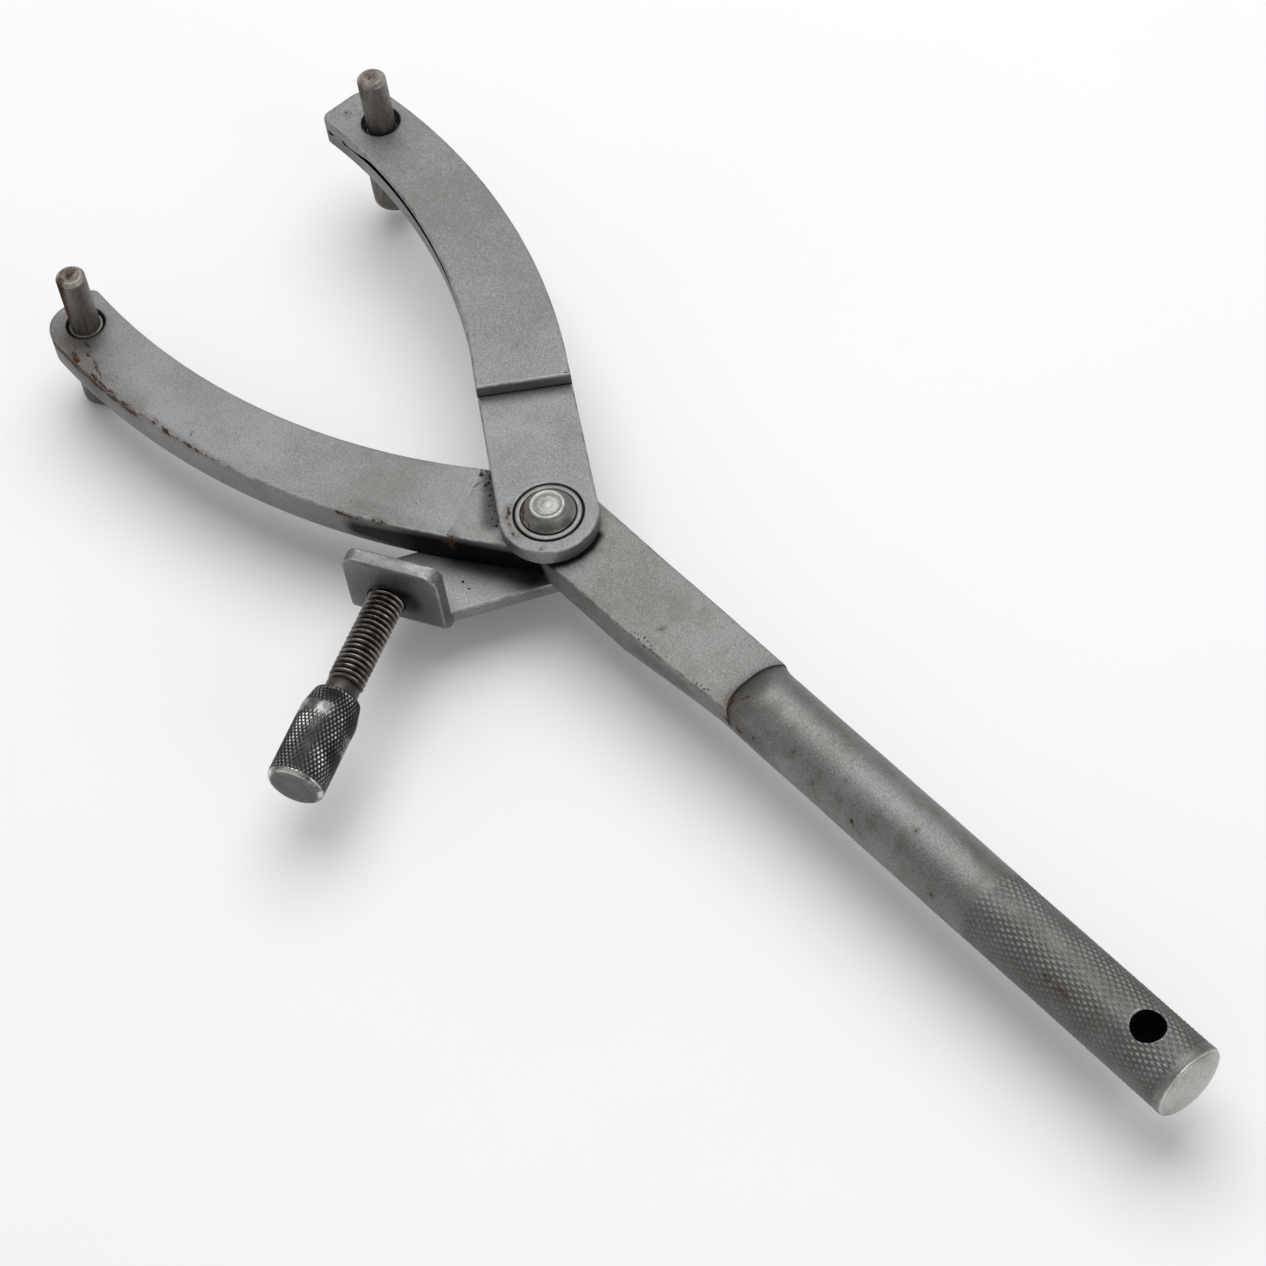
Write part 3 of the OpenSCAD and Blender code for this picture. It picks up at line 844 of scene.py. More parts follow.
def build_bar(materials):
    flat_y = (FLAT_LOW_Y + FLAT_HIGH_Y) / 2
    flat_w = (FLAT_HIGH_Y - FLAT_LOW_Y) / 2
    rings = []
    # Root of the fixed jaw: slanted sections from the weld to the parallel flat
    start_high = weld_point(0.6, WELD_WIDE / 2)
    start_low = weld_point(18.8, WELD_WIDE / 2)
    root_to = 6.0
    stations = 26
    for i in range(stations + 1):
        t = i / stations
        xl = start_low.x + (root_to - start_low.x) * t
        xh = start_high.x + (root_to - start_high.x) * t
        low = Vector((xl, arc_y(FIXED_OUTER, -1, xl) if xl < 1.6 else FLAT_LOW_Y))
        high = Vector((xh, arc_y(FIXED_INNER, -1, xh) if xh < -7.6 else FLAT_HIGH_Y))
        middle, half = (low + high) / 2, (high - low) / 2
        section = rounded_rectangle(half.length, -FLAT_HALF, FLAT_HALF, 0.45)
        unit = half.normalized()
        rings.append([(middle.x + unit.x * y, middle.y + unit.y * y, z, wear, 0)
                      for y, z, wear in section])
    # Parallel flat, its taper to the shoulder, and the ramp to the round bar
    flat = rounded_rectangle(flat_w, -FLAT_HALF, FLAT_HALF, 0.6)
    shoulder = shoulder_section()
    round_bar = circle_section()

    def place_ring(x, section, centre_y, bow=0.0, shade=0.0):
        """Adds a section, bowed back at its sides, with painted shade on its upper half."""
        ring = []
        for y, z, wear in section:
            shift = bow * min(1.0, abs(y) / BAR_R) ** 3
            if z <= -1:
                shift *= max(0.0, 1 + (z + 1) / 4)
            d = 1 + dents(x, y, z) / 8
            ring.append((x + shift, centre_y + y * d, z * d, wear, shade if z > 0 else 0))
        rings.append(ring)

    for i in range(1, 11):
        place_ring(root_to + (FLAT_LONG - root_to) * i / 10, flat, flat_y)
    steps = 22
    for i in range(1, steps + 1):
        t = i / steps
        x = FLAT_LONG + (SHOULDER_X - FLAT_LONG) * t
        place_ring(x, mixed(flat, shoulder, t), flat_y + (BAR_AXIS_Y - flat_y) * t,
                   SHOULDER_BOW * eased(max(0, t * 3 - 2)))
    steps = 16
    for i in range(1, steps + 1):
        t = i / steps
        rise = math.sin(t * math.pi / 2) ** 1.15
        # Painted shade on the ramp up from the flat's end, darkest at its foot
        place_ring(SHOULDER_X + RAMP * t, mixed(shoulder, round_bar, rise), BAR_AXIS_Y,
                   SHOULDER_BOW * (1 - eased(t)), math.exp(-7 * t) + 0.38 * (1 - t))
    smooth_from = SHOULDER_X + RAMP
    steps = 40
    for i in range(1, steps + 1):
        place_ring(smooth_from + (KNURL_FROM - smooth_from) * i / steps, round_bar, BAR_AXIS_Y)
    # Diamond knurling
    pitch = 2 * math.pi * BAR_R / BAR_TEETH / math.tan(KNURL_ANGLE)
    steps = round((KNURL_TO - KNURL_FROM) / (pitch / SAMPLES_PER_TOOTH))
    for i in range(1, steps + 1):
        x = KNURL_FROM + i * pitch / SAMPLES_PER_TOOTH
        ring = []
        for k, (c, s) in enumerate(circle(RING_POINTS)):
            height = knurl(i, k, 0.9)
            patchy = 0.85 + 0.5 * noise.noise(Vector((x * 0.12, c * 1.3, s * 1.3)))
            ragged = 1.6 * noise.noise(Vector((c * 2, s * 2, 5)))
            cut_in = eased(within((x - KNURL_FROM - 0.8 + ragged) / 3.0))
            cut_in *= eased(within(KNURL_TO - 0.6 - x))
            r = BAR_R - KNURL_DEPTH * cut_in * within(patchy, 0.55, 1.15) * (1 - height)
            ring.append((x, BAR_AXIS_Y + r * c, r * s, height * cut_in * 0.10,
                         (1 - height) * cut_in * 0.34))
        rings.append(ring)
    # Rim and domed end
    end_x = node_box("handle_bar")[1].x
    base_x = end_x - END_DOME
    rim = [(base_x - 0.9, BAR_R, 0.1), (base_x - 0.35, BAR_R - 0.12, 0.9),
           (base_x - 0.05, BAR_R - 0.42, 1.0), (base_x, BAR_R - 0.75, 0.0)]
    for i in range(1, 15):
        a = math.pi / 2 * i / 15
        r = (BAR_R - 0.75) * math.cos(a)
        rim.append((base_x + END_DOME * math.sin(a) ** 1.4, r, 0.25))
    rim.append((end_x, 0.15, 0.2))
    for x, r, wear in rim:
        rings.append([(x, BAR_AXIS_Y + r * c, r * s, wear, 0) for c, s in circle(RING_POINTS)])
    bar = finish_piece("knurled_bar", Shape().tube(rings), AT_PIVOT, "bar", ["handle_bar"],
                       materials["bar"])
    bar.data.materials.append(materials["end"])
    end_plane = (AT_PIVOT @ Vector((base_x - 0.6, 0, 0))).x
    for face in bar.data.polygons:
        if face.center.x > end_plane:
            face.material_index = 1
    hang = AT_PIVOT @ Matrix.Translation((-PIVOT.x / MM, BAR_AXIS_Y, 0))
    for side in (1, -1):
        mouth = [(HANG_HOLE_R + 1.2, side * (BAR_R + 1.5)),
                 (HANG_HOLE_R + 0.4, side * (BAR_R - 0.2)), (0.5, side * (BAR_R - 1.8))]
        cut(bar, lathe(mouth, 64), hang, materials["end"])
    for r, half, place in ((HANG_HOLE_R, BAR_R, hang), (RIVET_HOLE_R, FLAT_HALF, AT_PIVOT)):
        cut(bar, lathe([(r, -half - 1), (r, half + 1)], 64), place, materials["bore"])


# ---------------------------------------------------------------- jaws


def pin_place(node):
    low, high = node_box(node)
    return (low.x + high.x) / 2, (low.y + high.y) / 2


def hole_levels(z0, z1, r):
    """Wall of a hole with slightly broken edges; the insets widen the hole."""
    return rounded_levels(z0, z1, r, r, 3, 0.6)


def build_fixed_jaw(materials):
    z0, z1 = (corner.z for corner in node_box("fixed_jaw"))
    tip = -node_box("fixed_jaw")[0].x
    outer_from = weld_point(20.5, -WELD_WIDE / 2)
    inner_to = weld_point(-1.0, -WELD_WIDE / 2)
    inner_to = (inner_to.x, arc_y(FIXED_INNER, -1, inner_to.x))
    outer_from = (outer_from.x, arc_y(FIXED_OUTER, -1, outer_from.x))
    points = jaw_end(FIXED_OUTER, FIXED_INNER, tip, -1, outer_from, inner_to)
    start = weld_point(0, -WELD_WIDE / 2)
    along = (-math.cos(WELD_ANGLE), -math.sin(WELD_ANGLE))
    outline = clip(tidy_loop(points), tuple(start), along)
    outline = resample_straights(outline)
    x, y = pin_place("fixed_pin")
    shape = plate(outline, rounded_levels(z0, z1, 0.45, 0.5),
                  [(x, y, PIN_HOLE_R, hole_levels(z0, z1, 0.35))])
    finish_piece("fixed_jaw_plate", shape, AT_PIVOT, "bar", ["fixed_jaw"],
                 materials["jaw"])


def build_weld(materials):
    z0, z1 = (corner.z for corner in node_box("jaw_weld"))
    rings = []
    stations, across = 90, 14
    half = WELD_WIDE / 2 + WELD_LAP
    for i in range(stations + 1):
        ring = []
        for side, z in ((1, z1), (-1, z0)):
            for j in range(across + 1):
                s = side * (1 - 2 * j / across) * half
                start, stop = weld_end(FIXED_INNER, s), weld_end(FIXED_OUTER, s)
                t = start + (stop - start) * i / stations
                taper = min(1.0, min(t - start, stop - t) / 0.5)
                p = weld_point(t, s)
                where = Vector((p.x, p.y, z))
                lump = 0.10 * noise.noise(where * 0.9)
                pit = max(0.0, noise.noise(where * 1.25 + Vector((3, 1, 0))) - 0.05)
                pit *= max(0.0, 0.8 - t / 10)
                crown = 0.008 - 0.02 * (s / half) ** 4
                rise = (WELD_SUNK + crown + 0.1 * lump - 2.2 * pit) * taper - 0.3 * (1 - taper)
                ring.append((p.x, p.y, z + side * rise, 0, min(1.0, 2.6 * pit)))
        rings.append(ring)
    finish_piece("pitted_weld", Shape().tube(rings), AT_PIVOT, "bar", ["jaw_weld"],
                 materials["weld"], crease=60)


def swing_outline():
    outer_to = (ARM_OUTER[1], arc_y(SWING_OUTER, 1, ARM_OUTER[1]))
    inner_to = (ARM_INNER[1], arc_y(SWING_INNER, 1, ARM_INNER[1]))
    tip = -node_box("swing_plate")[0].x
    points = line(ARM_OUTER[0], outer_to)
    points += jaw_end(SWING_OUTER, SWING_INNER, tip, 1, outer_to, inner_to)
    points += line(inner_to, ARM_INNER[0])
    start, stop = (angle_of((0, 0), edge[0]) for edge in (ARM_INNER, ARM_OUTER))
    points += arc((0, 0), EYE_R, start, stop, 0.5)
    return tidy_loop(points)


def build_swing_plate(materials):
    z0, z1 = (corner.z for corner in node_box("swing_plate"))
    x, y = pin_place("swing_pin")
    recess_floor = node_box("pivot_washer")[0].z
    narrower = EYE_HOLE_R - RECESS_R
    # The recess's wall and floor carry painted shade, dark in the gap round the washer
    eye = [(z0, narrower, 0, 0), (recess_floor - 0.01, narrower, 0, 0.6),
           (recess_floor, 0.0, 0, 1.0), (z1 - 0.3, 0.0, 0, 0.9), (z1 - 0.12, 0.08, 0.4, 0.3),
           (z1, 0.3, 0.5, 0), (z1, 0.3 + LIP, 0, 0)]
    shape = plate(swing_outline(), rounded_levels(z0, z1, 0.45, 0.5),
                  [(x, y, PIN_HOLE_R, hole_levels(z0, z1, 0.2)), (0, 0, RECESS_R, eye)])
    finish_piece("swing_arm_plate", shape, AT_PIVOT, "swing_jaw", ["swing_plate"],
                 materials["swing"])


def build_doubler(materials):
    z0, z1 = (corner.z for corner in node_box("doubler_plate"))
    x, y = pin_place("swing_pin")
    along = Vector(STEP_OUT) - Vector(STEP_IN)
    outline = resample_straights(clip(swing_outline(), STEP_IN, tuple(along)), 0.8)
    levels = rounded_levels(z0, z1, 0.3, 0.55)
    crevice = 1.4
    # The crevice's levels carry full darkening: painted black shade inside it
    levels = [(z0, LIP, 0, 0), (z0, 0.0, 0, 0.1), (z0 + 0.01, 0.0, 0.2, 0.1),
              (z0 + 0.015, 0.06, 0, 1), (z0 + 0.02, crevice, 0, 1), (z0 + 0.20, crevice, 0, 1),
              (z0 + 0.21, 0.12, 0, 1), (z0 + 0.40, 0.0, 0, 0.1)] + levels[6:]

    def groove(p, k, z, inset):
        """Crevice that climbs and gapes along the inner edge. The tack weld fills it."""
        filled = eased(within((TACK_HALF + 0.6 - math.dist(p, TACK_AT)) / 0.6))
        if abs(along.normalized().cross(Vector(p) - Vector(STEP_IN))) < 0.3:
            filled = 1.0
        climb = 0.0
        if p[1] < INNER_BELOW_Y:
            climb = eased(within((p[0] - GAPE_FROM) / 10)) * eased(within((GAPE_TO - p[0]) / 12))
        if inset >= crevice:
            inset -= (crevice - 0.04) * filled
        # The crevice's floor climbs less than its roof, so that it gapes
        if 2 <= k <= 4:
            z += 0.70 * climb
        elif 5 <= k <= 7:
            z += 2.15 * climb
        return inset, z

    shape = plate(outline, levels, [(x, y, PIN_HOLE_R, hole_levels(z0, z1, 0.35))], groove)
    finish_piece("doubler", shape, AT_PIVOT, "swing_jaw", ["doubler_plate"],
                 materials["swing"])


def build_tack(materials):
    """Low ragged bead over the crevice beside the tip."""
    z = node_box("swing_plate")[1].z
    near = sorted(p for p in swing_outline()
                  if math.dist(p, TACK_AT) < TACK_HALF + 0.4 and p[1] < INNER_BELOW_Y)
    rings = []
    for i, p in enumerate(near):
        t = i / (len(near) - 1)
        size = 0.28 + 0.62 * math.sin(math.pi * t) ** 0.5
        ring = []
        for j in range(16):
            a = 2 * math.pi * j / 16
            r = size * (1 + 0.3 * noise.noise(Vector((p[0], a, p[1]))))
            ring.append((p[0], p[1] + 0.42 + 0.5 * r * math.cos(a), z + 0.1 + r * math.sin(a), 0.1))
        rings.append(ring)
    finish_piece("tack_bead", Shape().tube(rings), AT_PIVOT, "swing_jaw", ["tack_weld"],
                 materials["swing"], crease=60)


# ---------------------------------------------------------------- pins and pivot


def build_pin(name, node, body, materials, rubbed):
    """Stepped pin: thick end down, body in the jaw, slim end up. rubbed brightens its collar, which
    otherwise carries painted shade from the hole's gap, as does the slim end's foot.
    """
    low, high = node_box(node)
    thick_r, body_r, slim_r = (high.x - low.x) / 2, 3.75, 3.2
    shoulder = low.z + 14.8
    body_top = shoulder + 7.6
    bevel = 0.8
    collar_shade = 1 - rubbed
    profile = [(CENTRE, low.z, 0.1, 0), (thick_r - bevel - 0.3, low.z, 0.1, 0),
               (thick_r - bevel, low.z, 0.7, 0),
               (thick_r - bevel * 0.75, low.z + bevel * 0.12, 0.9, 0),
               (thick_r - 0.12, low.z + bevel * 0.8, 0.9, 0),
               (thick_r, low.z + bevel * 1.1, 0.3, 0),
               (thick_r, low.z + 3, 0, 0), (thick_r, shoulder - 0.5, 0, 0),
               (thick_r - 0.1, shoulder - 0.15, 0.5, 0), (thick_r - 0.35, shoulder, 0.3, 0),
               (body_r, shoulder, 0, 0.3), (body_r, body_top - 0.35, rubbed / 3, collar_shade),
               (body_r - 0.12, body_top - 0.1, rubbed, collar_shade),
               (body_r - 0.3, body_top, rubbed / 2, collar_shade), (slim_r + 0.02, body_top, 0, 0.5),
               (slim_r, body_top + 0.1, 0, 0.4), (slim_r, body_top + 1.2, 0, 0.1),
               (slim_r, high.z - bevel * 1.5, 0, 0)]
    # Bevel of the slim end, in shares of its size inward and up, softened at both edges
    for inward_share, up_share, wear in ((0, 0, 0.1), (0, 0.02, 0.6), (0.12, 0.2, 1.0),
                                         (0.88, 0.92, 1.0), (1, 1, 0.6), (1.4, 1, 0.1)):
        profile.append((slim_r - bevel * inward_share, high.z - bevel * (1 - up_share), wear, 0))
    profile.append((CENTRE, high.z - 0.03, 0.1, 0))
    x, y = pin_place(node)
    to_frame = AT_PIVOT @ Matrix.Translation((x, y, 0))
    finish_piece(name, lathe(profile, 64), to_frame, body, [node],
                 materials["pin"], crease=35)


def build_rivet(materials):
    low, high = node_box("pivot_rivet")
    ring_low, ring_high = (corner.z for corner in node_box("pivot_washer"))
    shaft, tail_r, tail_top = 4.95, 6.4, node_box("screw_bracket")[0].z
    profile = [(CENTRE, low.z, 0.2, 0), (4.3, low.z, 0.2, 0), (4.9, low.z + 0.12, 0.8, 0),
               (tail_r - 0.15, tail_top - 0.25, 0.6, 0), (tail_r, tail_top - 0.08, 0.3, 0),
               (tail_r - 0.1, tail_top, 0, 0.4), (SQUARE_HALF, tail_top, 0, 0),
               (SQUARE_HALF, -FLAT_HALF, 0, 0), (shaft, -FLAT_HALF, 0, 0), (shaft, FLAT_HALF, 0, 0),
               (SQUARE_HALF, FLAT_HALF, 0, 0), (SQUARE_HALF, ring_low + 0.2, 0, 1),
               (5.35, ring_low + 0.3, 0, 1), (5.62, ring_high - 0.25, 0, 0.8),
               (5.70, ring_high + 0.02, 0.5, 0.1), (5.60, ring_high + 0.22, 0.8, 0)]
    # Flared dome up to the button, with painted shade towards its foot
    dome_r, dome_low, dome_top, button_r = 5.55, ring_high + 0.25, high.z - 0.75, 3.85
    for i in range(1, 11):
        t = i / 10
        r = dome_r + (button_r - dome_r) * t ** 0.9
        z = dome_low + (dome_top - dome_low) * t ** 1.25
        profile.append((r, z, 0.08, 0.1 * (1 - t)))
    # Button with a raised rim, a dished ring and a rubbed centre, as inset, rise, wear, dirt and
    # shade
    for inset, rise, wear, grime_and_shade in (
            (0, 0.22, 0.5, 0), (0.10, 0.42, 0.9, 0), (0.40, 0.58, 1.0, 0), (0.75, 0.56, 0.7, 0),
            (1.00, 0.44, 0.1, 0.25), (1.25, 0.43, 0.1, 0.2), (1.6, 0.55, 0.5, 0),
            (2.25, 0.66, 0.6, 0), (2.65, 0.62, 0.3, 0.1), (3.05, 0.70, 0.8, 0),
            (button_r - CENTRE, 0.75, 0.6, 0)):
        profile.append((button_r - inset, dome_top + rise, wear, grime_and_shade))
    finish_piece("rivet", lathe(profile, 96), AT_PIVOT, "swing_jaw", ["pivot_rivet"],
                 materials["rivet"], crease=50)
    inner, outer = 5.85, 7.05
    # Its sides down in the recess carry painted shade, as does the rivet's stem inside the ring
    section = [(inner + 0.05, ring_low + 0.05, 0, 1), (inner, ring_low + 0.3, 0, 1),
               (inner, ring_high - 0.2, 0, 0.6), (inner + 0.08, ring_high - 0.06, 0.7, 0),
               (inner + 0.28, ring_high, 1.0, 0), (outer - 0.3, ring_high - 0.02, 0.5, 0),
               (outer - 0.08, ring_high - 0.1, 0.6, 0), (outer, ring_high - 0.3, 0, 0.6),
               (outer, ring_low + 0.3, 0, 1), (outer - 0.05, ring_low + 0.05, 0, 1)]
    shape = Shape()
    rings = [shape.ring(r) for r in turned(section, 96)]
    for a, b in zip(rings, rings[1:] + rings[:1]):
        shape.bridge(a, b)
    finish_piece("washer_ring", shape, AT_PIVOT, "swing_jaw", ["pivot_washer"],
                 materials["ring"], crease=50)


# ---------------------------------------------------------------- bracket, screw and knob


def bracket_sides(n):
    """Left and right edge of the flat part of the bracket, n towards the flange."""
    bend_at = FLANGE_OUT - BEND_R
    eye = math.sqrt(max(0.0, BRACKET_EYE_R ** 2 - n * n))
    left_points = [(-7.05, -5.6), (12.5, -31.4), (bend_at, FLANGE_LEFT)]
    right_points = [(7.04, 5.6), (bend_at, FLANGE_RIGHT)]

    def along(points):
        for (n0, s0), (n1, s1) in zip(points, points[1:]):
            if n <= n1:
                return s0 + (s1 - s0) * (n - n0) / (n1 - n0)
        return points[-1][1]

    left = -eye if n < -7.05 else along(left_points)
    right = eye if n < 7.04 else along(right_points)
    return left, right


def build_bracket(materials):
    low, high = (corner.z for corner in node_box("screw_bracket"))
    bend_at = FLANGE_OUT - BEND_R
    mid_r = BEND_R - SHEET / 2
    bend_long = mid_r * math.pi / 2
    flange_long = high - (low + BEND_R)
    corner = 0.55
    stations = [-BRACKET_EYE_R + 0.01, -8.97, -8.9, -8.75, -8.5, -8.1, -7.6]
    stations += [-7.05 + 0.94 * i for i in range(31)]
    stations = [s for s in stations if s < bend_at - 0.1] + [bend_at]
    stations += [bend_at + bend_long * i / 12 for i in range(1, 13)]
    start = bend_at + bend_long
    stations += [start + (flange_long - FLANGE_CORNER) * i / 6 for i in range(1, 7)]
    stations += [start + flange_long - FLANGE_CORNER * (1 - math.sin(math.pi / 2 * i / 8))
                 for i in range(1, 9)]
    rings = []
    wide_points, corner_points = 26, 4
    for t in stations:
        left, right = bracket_sides(min(t, bend_at))
        into_corner = t - (start + flange_long - FLANGE_CORNER)
        if into_corner > 0:
            into_corner = min(into_corner, FLANGE_CORNER)
            pull = FLANGE_CORNER - math.sqrt(FLANGE_CORNER ** 2 - into_corner ** 2)
            left, right = left + pull, right - pull
        end = min(1.0, (t - stations[0] + 0.02) / corner, (stations[-1] - t + 0.02) / corner)
        thin = corner * (1 - math.sqrt(max(0.0, 1 - (1 - end) ** 2)))
        half_thick = SHEET / 2 - thin
        c = min(corner, (right - left) / 2.2, half_thick)
        outline = []
        for sx, sz, a0 in ((1, 1, 0), (-1, 1, 90), (-1, -1, 180), (1, -1, 270)):
            cx = (right - c) if sx > 0 else (left + c)
            cz = sz * (half_thick - c)
            for j in range(corner_points + 1):
                a = math.radians(a0 + 90 * j / corner_points)
                wear = math.sin(math.pi * j / corner_points)
                outline.append((cx + c * math.cos(a), cz + c * math.sin(a), wear))
            if sz * sx > 0:
                nx = (left + c) if sz > 0 else (right - c)
                for j in range(1, wide_points):
                    outline.append((cx + (nx - cx) * j / wide_points, sz * half_thick, 0))
        ring = []
        top_wear = 0.12 * (1 - min(1.0, abs(stations[-1] - t) / (corner * 1.4)))
        for s, v, wear in outline:
            worn = max(wear * 0.55, top_wear)
            if t <= bend_at:
                ring.append((s, -t, low + SHEET / 2 + v, worn, 0))
            elif t <= start:
                a = (t - bend_at) / mid_r
                r = mid_r - v
                ring.append((s, -(bend_at + r * math.sin(a)),
                             low + BEND_R - r * math.cos(a), worn, 0))
            else:
                ring.append((s, -(bend_at + mid_r - v), low + BEND_R + t - start, worn, 0))
        rings.append(ring)
    bracket = finish_piece("bent_bracket", Shape().tube(rings), IN_BRACKET, "swing_jaw",
                           ["screw_bracket"], materials["sheet"])
    tapped = [(TAPPED_R, -SHEET - 2), (TAPPED_R, -0.35), (TAPPED_R + 0.5, 0.15),
              (TAPPED_R + 0.5, 2)]
    cut(bracket, lathe(tapped, 64), ON_SCREW, materials["screw"])
    corner_r = SQUARE_HALF * math.sqrt(2)
    cut(bracket, lathe([(corner_r, -12), (corner_r, 0)], 4),
        IN_BRACKET @ Matrix.Rotation(math.pi / 4, 4, "Z"), materials["sheet"])


def build_screw(materials):
    """Threaded screw with a smooth neck. It turns with the knob, so it rides with it."""
    turn_steps = 36
    start, stop = -TIP_IN, KNOB_AT - NECK_LONG
    # One turn of thread as parts of the pitch and of its depth
    shape_of_pitch = [(0.0, 0.0), (0.07, 0.12), (0.30, 0.86), (0.36, 1.0), (0.50, 1.0),
                      (0.56, 0.86), (0.79, 0.12), (0.86, 0.0), (1.0, 0.0)]
    turns = int((stop - start) / PITCH) + 3
    shape = Shape()
    columns = []
    for step in range(turns * turn_steps + 1):
        a = 2 * math.pi * step / turn_steps
        column = []
        for part, height in shape_of_pitch:
            z = start - PITCH + (step / turn_steps + part) * PITCH
            z_in = within(z, start, stop)
            tip_pull = within(1.0 - (z_in - start)) * 0.9
            runout = within(stop - z_in)
            r = max(2.6, THREAD_R - THREAD_DEPTH * (1 - height * runout) - tip_pull)
            chips = noise.noise(Vector((a * 1.7, z * 2, 0)))
            # Thread crests are lightened as worn metal and as painted glints
            crest = height if height > 0.8 else 0.0
            grime_and_shade = 1 - height if height < 0.5 else 0
            column.append(shape.add((r * math.cos(a), r * math.sin(a), z_in),
                                    crest * (0.75 + 0.5 * chips), grime_and_shade))
        columns.append(column)
    for a, b in zip(columns, columns[1:]):
        for k in range(len(a) - 1):
            shape.faces.append((a[k], b[k], b[k + 1], a[k + 1]))
    # Core, neck and the stub inside the knob
    core_r = THREAD_R - THREAD_DEPTH - 0.02
    profile = [(CENTRE, start, 0, 0), (2.7, start, 0.3, 0), (core_r - 0.6, start + 0.35, 0.3, 0),
               (core_r, start + 1.1, 0, 0.5), (core_r, stop - 0.4, 0, 0.5),
               (NECK_R - 0.25, stop - 0.1, 0, 0.2), (NECK_R, stop + 0.25, 0.1, 0),
               (NECK_R, KNOB_AT - 0.5, 0.1, 0), (NECK_R, KNOB_AT + SOCKET, 0, 0),
               (CENTRE, KNOB_AT + SOCKET, 0, 0)]
    base = len(shape.verts)
    core = lathe(profile, 48)
    shape.verts += core.verts
    shape.wear += core.wear
    shape.grime_and_shade += core.grime_and_shade
    shape.faces += [tuple(base + i for i in f) for f in core.faces]
    finish_piece("threaded_screw", shape, ON_SCREW, "knob", ["adjusting_screw"],
                 materials["screw"], crease=50)


def build_knob(materials):
    sides = KNOB_TEETH * SAMPLES_PER_TOOTH
    pitch = 2 * math.pi * KNOB_R / KNOB_TEETH / math.tan(KNURL_ANGLE)
    end = KNOB_AT + KNOB_LONG
    mouth, lip_r = NECK_R + 0.06, NECK_R + KNOB_LIP
    socket_end = KNOB_AT + SOCKET + 0.1
    rings = turned([(CENTRE, socket_end, 0, 0), (mouth, socket_end, 0, 0),
                    (mouth, KNOB_AT + 0.2, 0, 0.6), (mouth + 0.15, KNOB_AT + 0.02, 0.4, 0),
                    (lip_r - 0.3, KNOB_AT, 0.3, 0)], sides)
    steps = round((KNOB_LONG - 0.9) / (pitch / SAMPLES_PER_TOOTH))
    for i in range(1, steps + 1):
        z = KNOB_AT + (KNOB_LONG - 0.9) * i / steps
        into = z - KNOB_AT
        outer = lip_r + (KNOB_R - NECK_R - KNOB_LIP) * min(1.0, into / KNOB_CONE)
        ring = []
        for k, (c, s) in enumerate(circle(sides)):
            height = knurl(i, k, 0.7)
            # The knurling wheel missed a patch beside the cone; the patch is lightened as a painted
            # highlight.
            turn = 2 * math.pi * k / sides - SMOOTH_PATCH
            missed = math.exp(-((into - KNOB_CONE - 1.2) / 1.8) ** 4)
            missed *= within(math.cos(turn)) ** 0.4
            deep = min(1.0, into) * (1 - min(1.0, 1.25 * missed)) * within((end - 0.5 - z) / 0.8)
            # Crests are lightened in noisy patches, as worn metal and as painted glints
            worn = noise.noise(Vector((c * 1.5, s * 1.5, z * 0.25)))
            worn = height ** 2 * max(0.05, 0.25 + 1.9 * worn) * deep
            r = outer - KNOB_KNURL_DEPTH * deep * (1 - height)
            ring.append((r * c, r * s, z, min(1.0, worn + 0.4 * missed), (1 - height) * 0.9 * deep))
        rings.append(ring)
    rings += turned([(KNOB_R - 0.04, end - 0.82, 0.8, 0), (KNOB_R - 0.20, end - 0.50, 1.0, 0),
                     (KNOB_R - 0.52, end - 0.18, 1.0, 0), (KNOB_R - 0.85, end, 0.6, 0),
                     (KNOB_R - 1.2, end, 0.1, 0.2), (3.0, end - 0.02, 0.05, 0.2),
                     (CENTRE, end, 0.1, 0.2)], sides)
    finish_piece("knurled_knob", Shape().tube(rings), ON_SCREW, "knob", ["knob"],
                 materials["knob"], crease=50)


# ---------------------------------------------------------------- stage

# Viewing angle, the point looked at in millimetres from the pivot and the camera's distance
VIEW_AZIMUTH, VIEW_ELEVATION, VIEW_ROLL = 57.17, 54.63, -9.75
VIEW_AT, VIEW_FROM = (30.21, -4.25, 0.0), 777.1
LENS, SENSOR = 109.71, 36.0
FLOOR_HALF, FLOOR_GAP = 2.5, 0.0002


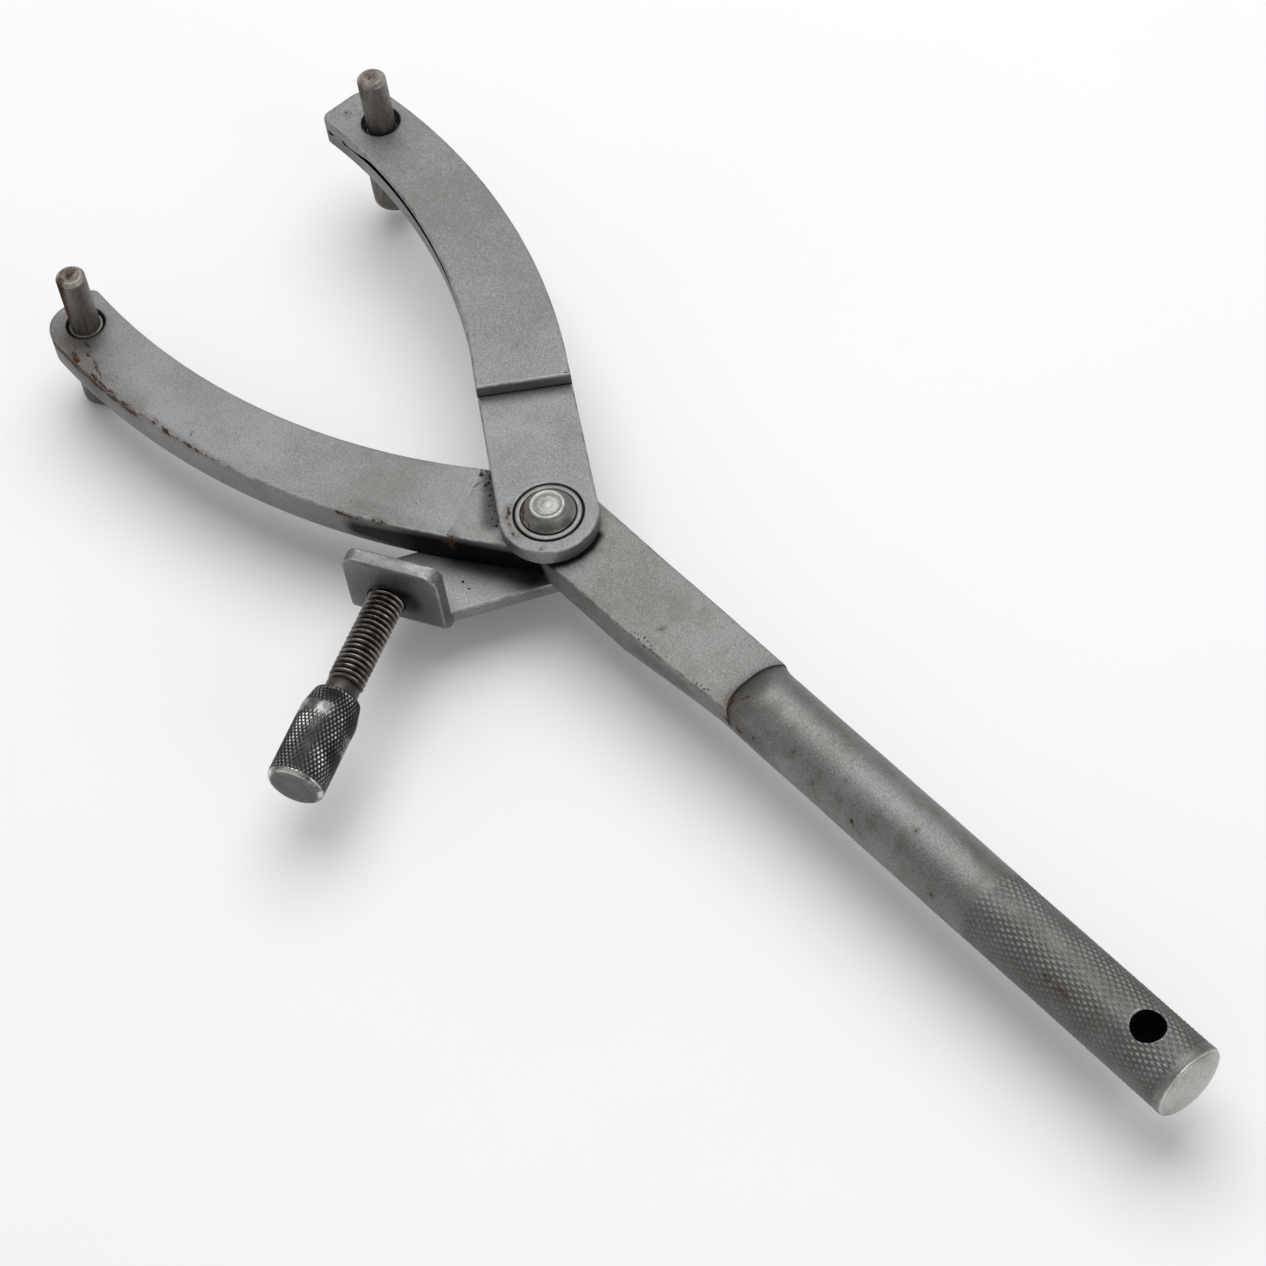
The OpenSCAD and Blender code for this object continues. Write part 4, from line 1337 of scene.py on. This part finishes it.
def build_camera():
    azimuth, elevation, roll = (math.radians(a) for a in (VIEW_AZIMUTH, VIEW_ELEVATION, VIEW_ROLL))
    level = math.cos(elevation)
    back = Vector((math.sin(azimuth) * level, -math.cos(azimuth) * level, math.sin(elevation)))
    right = Vector((math.cos(azimuth), math.sin(azimuth), 0))
    up = back.cross(right)
    right, up = (right * math.cos(roll) + up * math.sin(roll),
                 up * math.cos(roll) - right * math.sin(roll))
    data = bpy.data.cameras.new("camera")
    data.lens, data.sensor_width = LENS, SENSOR
    data.clip_start, data.clip_end = 0.01, 20
    camera = add_object("camera", data)
    place = AT_PIVOT @ Vector(VIEW_AT) + back * VIEW_FROM * MM
    camera.matrix_world = (Matrix.Translation(place)
                           @ Matrix((right, up, back)).transposed().to_4x4())
    bpy.context.scene.camera = camera


def build_floor():
    centre = (Vector(CAD_BOX[0]) + Vector(CAD_BOX[1])) / 2
    corners = [(centre.x + FLOOR_HALF * x, centre.y + FLOOR_HALF * y, CAD_BOX[0][2] - FLOOR_GAP)
               for x, y in ((-1, -1), (1, -1), (1, 1), (-1, 1))]
    mesh = bpy.data.meshes.new("floor")
    mesh.from_pydata(corners, [], [(0, 1, 2, 3)])
    n = Nodes("pale_floor")
    tone = n.mix(n.noise(9, 3, 0.5), (0.86, 0.86, 0.86), (0.90, 0.90, 0.90))
    mesh.materials.append(n.done({"Base Color": tone, "Roughness": 0.9,
                                  "Specular IOR Level": 0.1}))
    add_object("floor", mesh)


def area_light(name, place, aim, size, power):
    data = bpy.data.lights.new(name, "AREA")
    data.shape, data.size, data.energy = "DISK", size, power
    light = add_object(name, data)
    light.location = place
    light.rotation_euler = (Vector(place) - Vector(aim)).to_track_quat("Z", "Y").to_euler()


def build_light():
    world = bpy.data.worlds.new("studio")
    bpy.context.scene.world = world
    world.use_nodes = True
    sky = world.node_tree.nodes["Background"]
    sky.inputs["Color"].default_value = (1, 1, 1, 1)
    sky.inputs["Strength"].default_value = 0.45
    aim = AT_PIVOT @ Vector((20, 0, 0))
    area_light("key", aim + Vector((-0.30, 0.30, 1.1)), aim, 1.3, 11.5)
    area_light("fill", aim + Vector((0.95, 0.05, 0.35)), aim, 0.6, 1.6)
    bpy.context.scene.view_settings.view_transform = "Standard"


def main():
    materials = make_materials()
    build_bar(materials)
    build_fixed_jaw(materials)
    build_weld(materials)
    build_swing_plate(materials)
    build_doubler(materials)
    build_tack(materials)
    build_pin("fixed_stepped_pin", "fixed_pin", "bar", materials, 0.6)
    build_pin("swing_stepped_pin", "swing_pin", "swing_jaw", materials, 0.0)
    build_rivet(materials)
    build_bracket(materials)
    build_screw(materials)
    build_knob(materials)
    build_floor()
    build_light()
    build_camera()


main()
